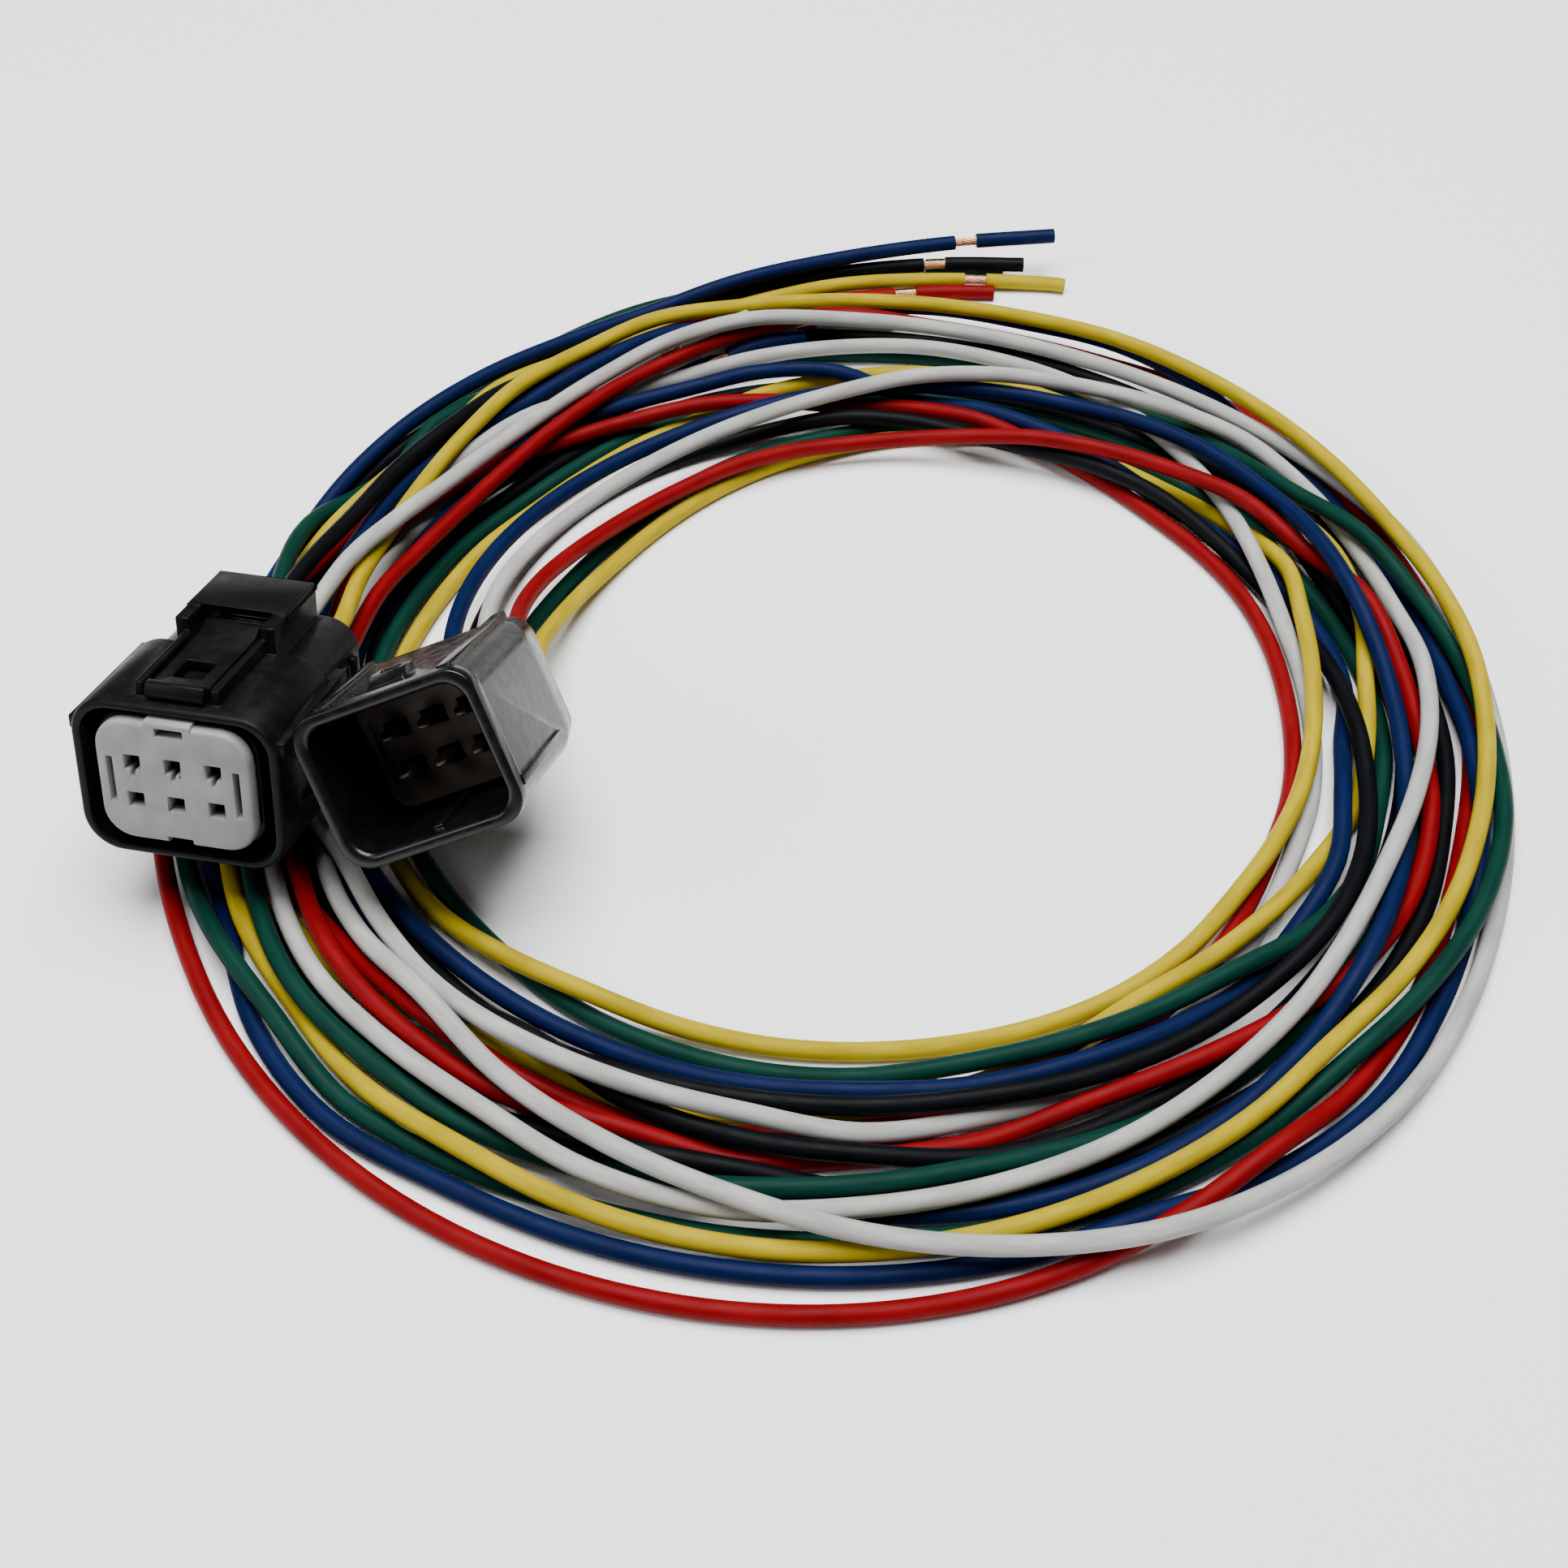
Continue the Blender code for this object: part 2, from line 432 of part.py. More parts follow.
# ---- rear wire seal and cap, alike on both connectors ----------------------------------------
def rear_seal_pieces(prefix, frame, pocket_floor, length):
    width, height, radius = SEAL_PAD
    cap_front = length - 1.4
    seal = loft(f"{prefix}_rear_wire_seal", [
        (width - 0.5, height - 0.5, radius, pocket_floor + GAP, 0, 0),
        (width, height, radius, pocket_floor + GAP + 0.5, 0, 0),
        (width, height, radius, cap_front - GAP - 0.5, 0, 0),
        (width - 0.5, height - 0.5, radius, cap_front - GAP, 0, 0)], "seal", frame)
    cap = loft(f"{prefix}_rear_cap", [
        (width, height, radius, cap_front, 0, 0), (width, height, radius, length, 0, 0)],
        "black_plastic", frame)
    drill = rods(f"{prefix}_wire_hole_cutter", cavities(), WIRE_HOLE_D, pocket_floor - 1, length + 1, frame)
    combine(seal, drill, "DIFFERENCE")
    combine(cap, drill, "DIFFERENCE")


# ---- female connector --------------------------------------------------------------------------
def female_housing(frame):
    hood_w, hood_h, hood_r = HOOD
    plug_w, plug_h, plug_r = PLUG
    pad_w, pad_h, pad_r = SEAL_PAD
    pocket_w, pocket_h = pad_w + 2 * GAP, pad_h + 2 * GAP
    housing = loft("female_housing", [
        (plug_w, plug_h, plug_r, 0.9, 0, 0),
        (plug_w, plug_h, plug_r, HOOD_DEPTH, 0, 0),
        (hood_w - 1.7, hood_h - 1.3, hood_r - 0.6, HOOD_DEPTH, 0, HOOD_DROP),
        (hood_w - 1.7, hood_h - 1.3, hood_r - 0.6, 0.0, 0, HOOD_DROP),
        (hood_w - 0.4, hood_h - 0.4, hood_r - 0.2, 0.0, 0, HOOD_DROP),
        (hood_w, hood_h, hood_r, 0.3, 0, HOOD_DROP),
        (hood_w, hood_h, hood_r, 11.4, 0, HOOD_DROP),
        (hood_w - 2.4, hood_h - 1.6, hood_r - 0.6, 12.2, 0, HOOD_DROP),
        (hood_w - 2.4, hood_h - 1.6, hood_r - 0.6, FEMALE_LENGTH, 0, HOOD_DROP),
        (pocket_w, pocket_h, pad_r, FEMALE_LENGTH, 0, 0),
        (pocket_w, pocket_h, pad_r, 15.0, 0, 0)], "black_plastic", frame, segments=4)
    top = hood_h / 2 + HOOD_DROP
    rails = [((sx * 8.0, sx * 9.3) if sx > 0 else (-9.3, -8.0), (0.6, 14.0), (3.5, 4.7)) for sx in (-1, 1)]
    ribs = [((-3.6, -2.9), (1.6, 11.0), (top - 0.8, top + 1.3)),
            ((2.9, 3.6), (1.6, 11.0), (top - 0.8, top + 1.3))]
    posts = [((-4.4, -3.2), (11.0, 20.0), (top - 1.6, 9.2)), ((3.2, 4.4), (11.0, 20.0), (top - 1.6, 9.2))]
    bridge = [((-4.4, 4.4), (13.6, 20.0), (8.75, 9.35))]
    for label, spans in (("rails", rails), ("ribs", ribs), ("posts", posts), ("bridge", bridge)):
        combine(housing, boxes(f"female_{label}_form", spans, frame), "UNION")
    combine(housing, boxes("female_cavity_cutter", square_spans(CAVITY, -1.0, 16.0), frame), "DIFFERENCE")
    legs = [((sx * 6.05 - 0.55, sx * 6.05 + 0.55), (0.0, 5.2), (-2.9, 2.9)) for sx in (-1, 1)]
    combine(housing, boxes("female_leg_slot_cutter", legs, frame), "DIFFERENCE")


def female_lock(frame):
    """Light grey secondary lock: the face plate and the two legs that hold the terminals in."""
    width, height, radius = LOCK_PLATE
    back = 0.9 - GAP
    plate = loft("female_secondary_lock", [
        (width - 0.6, height - 0.6, radius - 0.2, back - LOCK_THICK, 0, 0),
        (width, height, radius, back - LOCK_THICK + 0.3, 0, 0),
        (width, height, radius, back, 0, 0)], "grey_plastic", frame, segments=5)
    legs = [((sx * 6.05 - 0.25, sx * 6.05 + 0.25), (back - 0.3, 4.6), (-2.2, 2.2)) for sx in (-1, 1)]
    tab = [((-2.1, 1.9), (back - LOCK_THICK + 0.3, back), (height / 2 - 1.0, height / 2 + 0.35))]
    combine(plate, boxes("lock_leg_form", legs + tab, frame), "UNION")
    holes = square_spans(1.3, -2.0, 2.0)
    notches = [((-1.1, 1.1), (-2.0, 2.0), (height / 2 - 0.9, height / 2 - 0.2)),
               ((-1.0, 1.0), (-2.0, 2.0), (-height / 2 - 1.0, -height / 2 + 0.6))]
    combine(plate, boxes("lock_hole_cutter", holes + notches, frame), "DIFFERENCE")


def female_seal(frame):
    """Perimeter seal, a flat band round the plug at the bottom of the groove."""
    plug_w, plug_h, plug_r = PLUG
    inner = (plug_w + 0.4, plug_h + 0.4, plug_r + 0.2)
    outer = (plug_w + 1.8, plug_h + 1.2, plug_r + 0.5)
    band = loft("female_interface_seal", [(*outer, 5.0, 0, -0.05), (*outer, HOOD_DEPTH - GAP, 0, -0.05)],
                "seal", frame)
    core = loft("seal_core_cutter", [(*inner, 4.0, 0, 0), (*inner, 10.0, 0, 0)], None, frame)
    combine(band, core, "DIFFERENCE")


def female_latch(frame):
    """Latch lever on the hood, its origin on the flexing axis."""
    pivot = bpy.data.objects.new("latch_axis", None)
    bpy.context.collection.objects.link(pivot)
    pivot.parent = frame
    pivot.location = (0, LATCH_AXIS_Y * MM, LATCH_AXIS_Z * MM)
    y, z = LATCH_AXIS_Y, LATCH_AXIS_Z
    lever = boxes("female_latch_lever", [((-2.5, 2.5), (1.0 - y, 16.5 - y), (-0.45, 0.35))], pivot,
                  "black_plastic")
    pad = boxes("latch_pad_form", [((-2.5, 2.5), (12.4 - y, 13.2 - y), (0.1, 0.9)),
                                   ((-1.0, 1.0), (1.0 - y, 2.2 - y), (0.1, 0.8))], pivot)
    combine(lever, pad, "UNION")
    window = boxes("latch_window_cutter", [((-1.3, 1.3), (3.6 - y, 6.6 - y), (-2.0, 2.0))], pivot)
    combine(lever, window, "DIFFERENCE")


def female_terminals(frame):
    for number, (x, z) in enumerate(cavities(), start=1):
        loft(f"female_terminal_{number}", [
            (1.6, 1.0, 0.2, 7.0, x, z), (1.6, 1.0, 0.2, 2.6, x, z), (2.0, 2.0, 0.3, 2.6, x, z),
            (2.0, 2.0, 0.3, 9.4, x, z), (1.3, 1.3, 0.3, 9.9, x, z), (1.3, 1.3, 0.3, 11.2, x, z),
            (1.9, 1.9, 0.7, 11.6, x, z), (1.9, 1.9, 0.7, FEMALE_LENGTH - 5.2 - GAP, x, z)],
            "tin", frame, segments=1)


# ---- male connector ------------------------------------------------------------------------------
def male_housing(frame):
    width, height, radius = SHROUD
    inner_w, inner_h = width - 2 * SHROUD_WALL, height - 2 * SHROUD_WALL
    pad_w, pad_h, pad_r = SEAL_PAD
    pocket_w, pocket_h = pad_w + 2 * GAP, pad_h + 2 * GAP
    housing = loft("male_housing", [
        (inner_w, inner_h, radius - 0.5, SHROUD_DEPTH, 0, 0),
        (inner_w, inner_h, radius - 0.5, 0.3, 0, 0),
        (inner_w + 0.6, inner_h + 0.6, radius - 0.3, 0.0, 0, 0),
        (width + 0.5, height + 0.5, radius, 0.0, 0, 0),
        (width + 0.5, height + 0.5, radius, 1.6, 0, 0),
        (width - 0.1, height - 0.1, radius, 1.9, 0, 0),
        (width - 0.1, height - 0.1, radius, 15.5, 0, 0),
        (width - 1.2, height - 1.2, radius - 0.4, MALE_LENGTH, 0, 0),
        (pocket_w, pocket_h, pad_r, MALE_LENGTH, 0, 0),
        (pocket_w, pocket_h, pad_r, 14.6, 0, 0)], "black_plastic", frame, segments=4)
    top = height / 2
    ramp = boxes("male_ramp_form", [((-1.7, 1.7), (3.2, 6.2), (top - 0.7, top + 0.9))], frame)
    combine(housing, ramp, "UNION")
    combine(housing, boxes("male_cavity_cutter", square_spans(CAVITY, 10.0, 15.5), frame), "DIFFERENCE")


def male_lock(frame):
    """Light grey lock plate at the bottom of the shroud, which the blades pass through."""
    inner_w, inner_h = SHROUD[0] - 2 * SHROUD_WALL, SHROUD[1] - 2 * SHROUD_WALL
    plate = loft("male_secondary_lock", [
        (inner_w - 1.0, inner_h - 1.0, 1.6, SHROUD_DEPTH - GAP - 1.2, 0, 0),
        (inner_w - 1.0, inner_h - 1.0, 1.6, SHROUD_DEPTH - GAP, 0, 0)], "grey_plastic", frame)
    slots = [((x - 1.1, x + 1.1), (7.0, 12.0), (z - 0.75, z + 0.75)) for x, z in cavities()]
    combine(plate, boxes("male_lock_slot_cutter", slots, frame), "DIFFERENCE")


def male_terminals(frame):
    blade_w, blade_h = BLADE
    for number, (x, z) in enumerate(cavities(), start=1):
        loft(f"male_terminal_{number}", [
            (blade_w - 0.7, blade_h - 0.5, 0.1, BLADE_TIP_Y, x, z),
            (blade_w, blade_h, 0.1, BLADE_TIP_Y + 0.8, x, z),
            (blade_w, blade_h, 0.1, 11.2, x, z), (1.9, 1.9, 0.5, 11.4, x, z),
            (1.9, 1.9, 0.5, MALE_LENGTH - 3.8 - GAP, x, z)], "tin", frame, segments=1)


# ---- wires -----------------------------------------------------------------------------------------
def tube(name, points, diameter, kind):
    curve = bpy.data.curves.new(name, "CURVE")
    curve.dimensions = "3D"
    curve.bevel_depth = diameter / 2 * MM
    curve.bevel_resolution = 2
    curve.use_fill_caps = True
    spline = curve.splines.new("POLY")
    spline.points.add(len(points) - 1)
    for spot, point in zip(spline.points, points):
        spot.co = (*(Vector(point) * MM), 1.0)
    curve.materials.append(material(kind))
    made = bpy.data.objects.new(name, curve)
    bpy.context.collection.objects.link(made)


def wires():
    for name, coil_points in coil_routes().items():
        route = wire_route(name, coil_points)
        colour = WIRES[name]["colour"]
        whole = route_length(route)
        cut = whole - SLUG_LENGTH - STRIP_LENGTH
        tube(f"{name}_wire", cut_route(route, 0.0, cut), WIRE_D, colour)
        tube(f"{name}_conductor", cut_route(route, cut + GAP / 2, whole - SLUG_LENGTH - GAP / 2),
             CORE_D, "copper")
        tube(f"{name}_slug", cut_route(route, whole - SLUG_LENGTH, whole), WIRE_D, colour)


def main():
    clear_scene()
    female = placed_empty("female_connector", FEMALE_PLACE)
    female_housing(female)
    female_lock(female)
    female_seal(female)
    female_latch(female)
    female_terminals(female)
    rear_seal_pieces("female", female, 15.0, FEMALE_LENGTH)
    male = placed_empty("male_connector", MALE_PLACE)
    male_housing(male)
    male_lock(male)
    male_terminals(male)
    rear_seal_pieces("male", male, 14.6, MALE_LENGTH)
    wires()


main()
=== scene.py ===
# Looks of the two-connector wiring harness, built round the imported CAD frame.
import math

import bmesh
import bpy
import numpy as np
from mathutils import Euler, Matrix, Vector


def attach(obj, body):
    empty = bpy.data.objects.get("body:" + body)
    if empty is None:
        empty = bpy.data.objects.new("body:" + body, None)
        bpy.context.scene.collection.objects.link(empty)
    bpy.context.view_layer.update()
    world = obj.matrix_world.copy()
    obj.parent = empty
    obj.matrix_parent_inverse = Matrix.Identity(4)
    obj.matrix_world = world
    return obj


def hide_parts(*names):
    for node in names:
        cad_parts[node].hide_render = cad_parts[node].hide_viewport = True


MM = 0.001

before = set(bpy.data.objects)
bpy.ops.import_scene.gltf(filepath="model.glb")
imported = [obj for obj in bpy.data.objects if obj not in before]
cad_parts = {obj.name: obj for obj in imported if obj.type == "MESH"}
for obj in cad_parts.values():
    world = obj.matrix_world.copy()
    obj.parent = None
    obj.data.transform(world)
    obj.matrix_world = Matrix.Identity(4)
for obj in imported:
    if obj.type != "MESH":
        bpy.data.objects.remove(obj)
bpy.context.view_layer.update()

# ---- dimensions in millimetres and degrees, the same as the CAD source's ----
PITCH = 3.5                    # cavity pitch, both ways
WIRE_D = 1.65                  # outer diameter of the wire's insulation
CORE_D = 0.95                  # stranded conductor
LEAD_LENGTH = 5.5              # a wire runs straight for this long behind its connector
SLUG_LENGTH = 9.0              # insulation left on the wire's end
STRIP_LENGTH = 2.6             # bare conductor between insulation and slug
GAP = 0.3                      # clearance between neighbouring pieces
ON_TABLE = WIRE_D / 2 + 0.02   # lowest centreline of a wire

COIL_CENTRE = (1.74, -2.86)    # the coil's axis on the table
STATION = 10.0                 # degrees between two points of a coiled wire
LEVEL = 1.85                   # height of one layer of wires
LANE_GAP = 1.86                # least distance between two wires' centrelines
SETTLING = 900                 # rounds of laying the wires down beside and on each other
GUIDED = 0.8                   # share of those rounds in which lanes, stiffness and weight act
LANE_PULL = (0.06, 0.03)       # towards the wire's own lane, sideways and up, fading out
STIFFNESS = 0.05               # towards the middle of a point's two neighbours
SINKING = 0.012                # how far a round lets each point drop
CROWDING = 1.2                 # how firmly two close wires push each other away
PUSH_SHARE = 0.45              # share of a shortfall that each of the two wires gives way by
LEAD_START = 1.5               # first point of a straight lead, behind the connector
LEAD_ROOM = 7.0                # least degrees from a lead's end to the first station
PASSING_FROM = 200.0           # degrees travelled after which a wire may pass under a connector
OPEN_SKY = 99.0                # no ceiling over a wire
UNDER_GAP = WIRE_D / 2 + 0.35  # from a connector's underside to a passing wire's centreline
FEMALE_SHADOW = (16.6, 14.8, 20.6)   # width, height and length kept free for each connector
MALE_SHADOW = (16.0, 13.2, 19.0)

# each connector: middle of its mating face, heading of its depth axis, pitch and roll
FEMALE_PLACE = dict(at=(-53.41, -30.03, 15.2), heading=77.5, pitch=-14.2, roll=1.2)
MALE_PLACE = dict(at=(-34.26, -31.86, 18.4), heading=79.3, pitch=-24.5, roll=26.5)
FEMALE_LENGTH = 20.5
MALE_LENGTH = 19.0
FEMALE_CRIMP = 5.2             # from the connector's rear forward to its terminals' ends
MALE_CRIMP = 3.8

# ---- the wires and their lanes ---------------------------
# A wire is named after its connector and its colour. It leaves cavity (column, row) and is drawn
# towards its lane, clockwise round the coil: (degrees from the coil's left, radius in mm, layer).
WIRES = {
    "female_black": dict(cavity=(-1, 1), lanes=[
        (15, 45.0, 4.2), (35, 48.0, 2.6), (55, 55.5, 1.6), (75, 59.0, 0.2), (95, 59.0, 0.0),
        (115, 58.0, 0.0), (140, 56.0, 0.0), (165, 55.0, 0.0), (190, 54.0, 0.0), (215, 57.5, 0.0),
        (240, 57.5, 0.0), (265, 58.0, 0.6), (290, 59.5, 0.8), (315, 58.0, 0.0), (345, 58.5, 0.0),
        (375, 55.5, 0.0), (400, 54.0, 0.0), (425, 58.5, 0.3), (445, 65.0, 1.0), (467, 75.0, 2.2)]),
    "female_white": dict(cavity=(0, 1), lanes=[
        (15, 40.5, 5.0), (35, 42.5, 3.6), (55, 47.5, 2.8), (75, 55.5, 2.6), (95, 59.0, 1.8),
        (115, 58.5, 1.2), (140, 58.5, 0.6), (165, 58.0, 0.0), (190, 58.5, 0.0), (215, 61.5, 1.0),
        (240, 68.0, 1.4), (265, 66.0, 2.0), (290, 58.0, 2.2), (315, 54.0, 2.2), (345, 50.5, 0.0),
        (375, 49.0, 0.0), (400, 48.5, 0.0), (430, 55.0, 0.0), (456, 62.5, 0.4)]),
    "female_yellow": dict(cavity=(1, 1), lanes=[
        (15, 44.5, 4.0), (35, 47.0, 3.0), (55, 53.0, 3.2), (75, 61.5, 2.4), (95, 61.5, 1.8),
        (115, 66.5, 1.6), (140, 56.0, 2.0), (165, 56.5, 2.4), (190, 57.5, 2.2), (215, 58.5, 2.6),
        (240, 58.0, 1.6), (265, 64.5, 1.0), (290, 65.0, 0.8), (315, 60.0, 0.8), (345, 57.8, 1.2),
        (375, 53.5, 1.0), (400, 52.0, 1.0), (425, 57.5, 0.6), (448, 66.0, 0.2), (471, 76.0, 0.0)]),
    "female_green": dict(cavity=(-1, -1), lanes=[
        (15, 53.0, 2.4), (35, 52.5, 0.6), (55, 53.5, 0.0), (75, 56.0, 0.0), (95, 56.5, 0.0),
        (115, 55.0, 0.0), (140, 55.0, 1.0), (165, 55.0, 1.6), (190, 58.5, 1.2), (215, 61.0, 1.8),
        (240, 61.0, 0.8), (265, 61.5, 0.0), (290, 62.0, 0.0), (315, 62.0, 0.8), (345, 60.5, 0.0),
        (375, 56.5, 0.0), (400, 56.0, 0.0), (425, 62.0, 0.3), (445, 68.5, 1.0), (465, 77.0, 0.4)]),
    "female_blue": dict(cavity=(0, -1), lanes=[
        (15, 49.0, 2.8), (35, 50.0, 1.8), (55, 54.0, 2.0), (75, 56.0, 1.6), (95, 67.0, 1.0),
        (115, 66.0, 0.6), (140, 58.0, 0.4), (165, 54.5, 1.0), (190, 54.5, 1.0), (215, 59.8, 0.0),
        (240, 62.5, 0.0), (265, 64.5, 0.0), (290, 65.5, 0.0), (315, 62.0, 0.0), (345, 60.0, 1.2),
        (370, 55.5, 1.3), (400, 54.0, 1.0), (430, 59.5, 1.2), (448, 64.5, 1.6), (459, 69.5, 2.6),
        (469, 78.0, 3.4)]),
    "female_red": dict(cavity=(1, -1), lanes=[
        (15, 41.5, 3.0), (35, 41.0, 2.2), (55, 44.5, 2.0), (75, 55.0, 1.6), (95, 61.5, 1.0),
        (115, 61.0, 0.2), (140, 58.5, 0.0), (165, 57.0, 0.0), (190, 57.0, 0.0), (215, 58.5, 0.0),
        (240, 63.0, 0.4), (265, 69.0, 0.4), (290, 70.0, 0.0), (315, 67.5, 0.0), (345, 61.5, 1.1),
        (372, 51.5, 1.6), (400, 48.0, 2.2), (430, 59.5, 1.0), (450, 67.0, 0.2), (465, 73.0, 0.0)]),
    "male_blue": dict(cavity=(-1, 1), lanes=[
        (15, 36.5, 3.8), (35, 38.5, 2.2), (55, 39.5, 1.4), (75, 43.0, 1.6), (95, 41.5, 2.0),
        (115, 49.5, 2.0), (140, 50.5, 2.2), (165, 48.0, 2.4), (190, 49.5, 2.2), (215, 52.0, 1.8),
        (240, 60.5, 0.8), (265, 59.5, 0.0), (290, 58.0, 0.0), (315, 52.5, 0.0), (345, 48.6, 0.0),
        (375, 47.5, 0.4), (400, 47.5, 0.4), (440, 48.0, 1.4), (465, 45.5, 1.2), (490, 43.0, 0.2),
        (515, 46.0, 0.0), (540, 46.0, 0.0), (565, 46.5, 0.2), (590, 49.0, 1.6), (615, 51.5, 1.0),
        (640, 48.5, 1.0), (665, 47.0, 0.8), (690, 51.5, 1.0), (705, 48.0, 1.1), (735, 45.0, 1.0),
        (765, 46.0, 0.4), (806, 58.0, 0.0)]),
    "male_white": dict(cavity=(0, 1), lanes=[
        (15, 34.5, 5.0), (35, 31.0, 3.6), (55, 34.0, 2.8), (75, 38.0, 2.6), (95, 42.0, 2.6),
        (115, 48.5, 2.2), (140, 55.0, 1.6), (165, 53.5, 0.8), (190, 50.5, 2.6), (215, 52.0, 2.6),
        (240, 55.0, 1.6), (265, 59.0, 1.4), (290, 61.5, 1.2), (315, 59.0, 2.4), (345, 55.2, 1.2),
        (375, 50.5, 1.2), (400, 49.5, 1.4), (440, 54.5, 0.4), (465, 59.0, 0.8), (490, 52.5, 1.2),
        (515, 42.0, 1.2), (540, 41.0, 0.4), (565, 44.0, 0.0), (590, 47.0, 0.0), (615, 51.0, 0.8),
        (640, 55.0, 2.0), (665, 54.0, 2.4), (690, 52.0, 1.8), (705, 50.0, 1.2), (735, 47.0, 1.0),
        (765, 48.0, 1.0), (800, 57.0, 0.6)]),
    "male_red": dict(cavity=(1, 1), lanes=[
        (15, 32.5, 3.6), (35, 28.0, 2.6), (55, 31.5, 1.6), (75, 34.5, 1.2), (95, 37.0, 1.0),
        (115, 38.5, 1.4), (140, 44.5, 2.0), (165, 49.0, 1.6), (190, 53.5, 1.6), (215, 57.5, 0.8),
        (240, 52.0, 1.0), (265, 53.0, 0.0), (290, 57.0, 0.8), (315, 56.0, 2.2), (345, 52.9, 1.2),
        (375, 49.5, 1.8), (400, 48.0, 1.6), (440, 44.0, 1.4), (465, 42.5, 1.0), (490, 41.0, 0.0),
        (515, 43.5, 0.0), (540, 40.5, 0.0), (565, 42.0, 0.0), (590, 45.0, 0.0), (615, 50.0, 0.0),
        (640, 53.0, 0.0), (665, 55.0, 1.0), (690, 55.0, 0.6), (705, 54.5, 0.0), (735, 51.0, 0.0),
        (765, 52.0, 0.0), (785, 57.0, 0.0), (812, 63.0, 0.0)]),
    "male_black": dict(cavity=(-1, -1), lanes=[
        (15, 34.5, 1.6), (35, 37.5, 0.8), (55, 39.5, 0.4), (75, 40.5, 0.6), (95, 40.5, 1.0),
        (115, 40.5, 1.4), (140, 43.0, 0.4), (165, 44.5, 0.6), (190, 47.5, 1.6), (215, 49.5, 1.4),
        (240, 50.5, 1.4), (265, 50.5, 1.4), (290, 51.0, 1.0), (315, 50.0, 0.2), (345, 46.7, 0.0),
        (375, 45.5, 0.0), (400, 46.0, 0.0), (440, 48.0, 0.0), (465, 49.0, 0.0), (490, 50.5, 0.0),
        (515, 50.0, 1.0), (540, 49.5, 0.0), (565, 51.0, 0.0), (590, 52.5, 0.0), (615, 54.5, 0.6),
        (640, 53.5, 1.0), (665, 52.5, 1.6), (690, 53.5, 0.0), (705, 52.5, 0.0), (735, 49.0, 0.0),
        (765, 50.0, 0.0), (793, 57.0, 0.0)]),
    "male_green": dict(cavity=(0, -1), lanes=[
        (15, 28.0, 2.2), (35, 29.0, 1.0), (55, 32.0, 0.2), (75, 37.5, 0.0), (95, 41.5, 0.0),
        (115, 45.5, 0.0), (140, 46.5, 0.0), (165, 48.0, 0.0), (190, 49.5, 0.4), (215, 48.0, 1.6),
        (240, 46.5, 2.0), (265, 47.0, 0.8), (290, 46.0, 0.0), (315, 44.5, 0.2), (345, 44.6, 0.8),
        (375, 44.0, 0.0), (400, 44.0, 0.0), (440, 46.0, 0.0), (465, 47.0, 0.0), (490, 48.5, 0.0),
        (515, 50.0, 0.0), (540, 52.5, 0.0), (565, 54.5, 0.0), (590, 55.0, 0.0), (615, 54.0, 0.2),
        (640, 59.5, 1.2), (665, 62.5, 0.8), (690, 62.0, 1.4), (705, 56.0, 1.2), (735, 52.0, 1.0),
        (768, 54.0, 0.8), (800, 63.0, 0.2)]),
    "male_yellow": dict(cavity=(1, -1), lanes=[
        (15, 28.0, 2.0), (35, 27.5, 0.6), (55, 29.5, 0.0), (75, 33.5, 0.0), (95, 39.0, 0.0),
        (115, 43.5, 0.0), (140, 45.0, 1.2), (165, 44.5, 1.0), (190, 41.5, 1.0), (215, 43.0, 1.0),
        (240, 44.5, 0.6), (265, 42.5, 0.4), (290, 43.0, 0.6), (315, 46.5, 0.8), (345, 43.7, 0.0),
        (375, 44.0, 0.0), (400, 43.5, 0.0), (440, 45.5, 1.2), (465, 50.0, 1.0), (490, 52.0, 0.0),
        (515, 52.0, 0.6), (540, 50.0, 0.8), (565, 48.0, 0.4), (590, 45.0, 1.0), (615, 47.0, 0.2),
        (640, 49.0, 0.0), (665, 53.0, 0.6), (690, 57.0, 0.0), (705, 56.5, 0.0), (735, 53.0, 0.0),
        (765, 54.0, 0.0), (780, 59.0, 0.0), (802, 66.0, 0.0)]),
}


def smooth_values(keys, at):
    """Values at angles `at` on a smooth curve through keys, level at both its ends."""
    keys = np.array(keys, dtype=float)
    x, y = keys[:, 0], keys[:, 1:]
    slope = np.gradient(y, x, axis=0)
    slope[0] = slope[-1] = 0.0
    i = np.clip(np.searchsorted(x, at, side="right") - 1, 0, len(x) - 2)
    width = (x[i + 1] - x[i])[:, None]
    t = np.clip((at - x[i]) / (x[i + 1] - x[i]), 0.0, 1.0)[:, None]
    return ((2 * t**3 - 3 * t**2 + 1) * y[i] + (t**3 - 2 * t**2 + t) * width * slope[i]
            + (3 * t**2 - 2 * t**3) * y[i + 1] + (t**3 - t**2) * width * slope[i + 1])


def connector_matrix(place):
    """World matrix of a connector, in mm: local +X right, +Y into the depth, +Z up."""
    turn = Euler((math.radians(place["pitch"]), 0, 0)).to_matrix()
    roll = Matrix.Rotation(math.radians(-place["roll"]), 3, "Y")
    head = Matrix.Rotation(math.radians(place["heading"] - 90.0), 3, "Z")
    return Matrix.Translation(Vector(place["at"])) @ (head @ turn @ roll).to_4x4()


def connector_of(name):
    """Place, length and crimp depth of the connector that a wire belongs to."""
    if name.startswith("female"):
        return FEMALE_PLACE, FEMALE_LENGTH, FEMALE_CRIMP
    return MALE_PLACE, MALE_LENGTH, MALE_CRIMP


def cavity_line(name, depths):
    """World points, in mm, on the middle line of a wire's cavity at depths from the mating face."""
    column, row = WIRES[name]["cavity"]
    matrix = connector_matrix(connector_of(name)[0])
    return [matrix @ Vector((column * PITCH, depth, row * PITCH / 2)) for depth in depths]


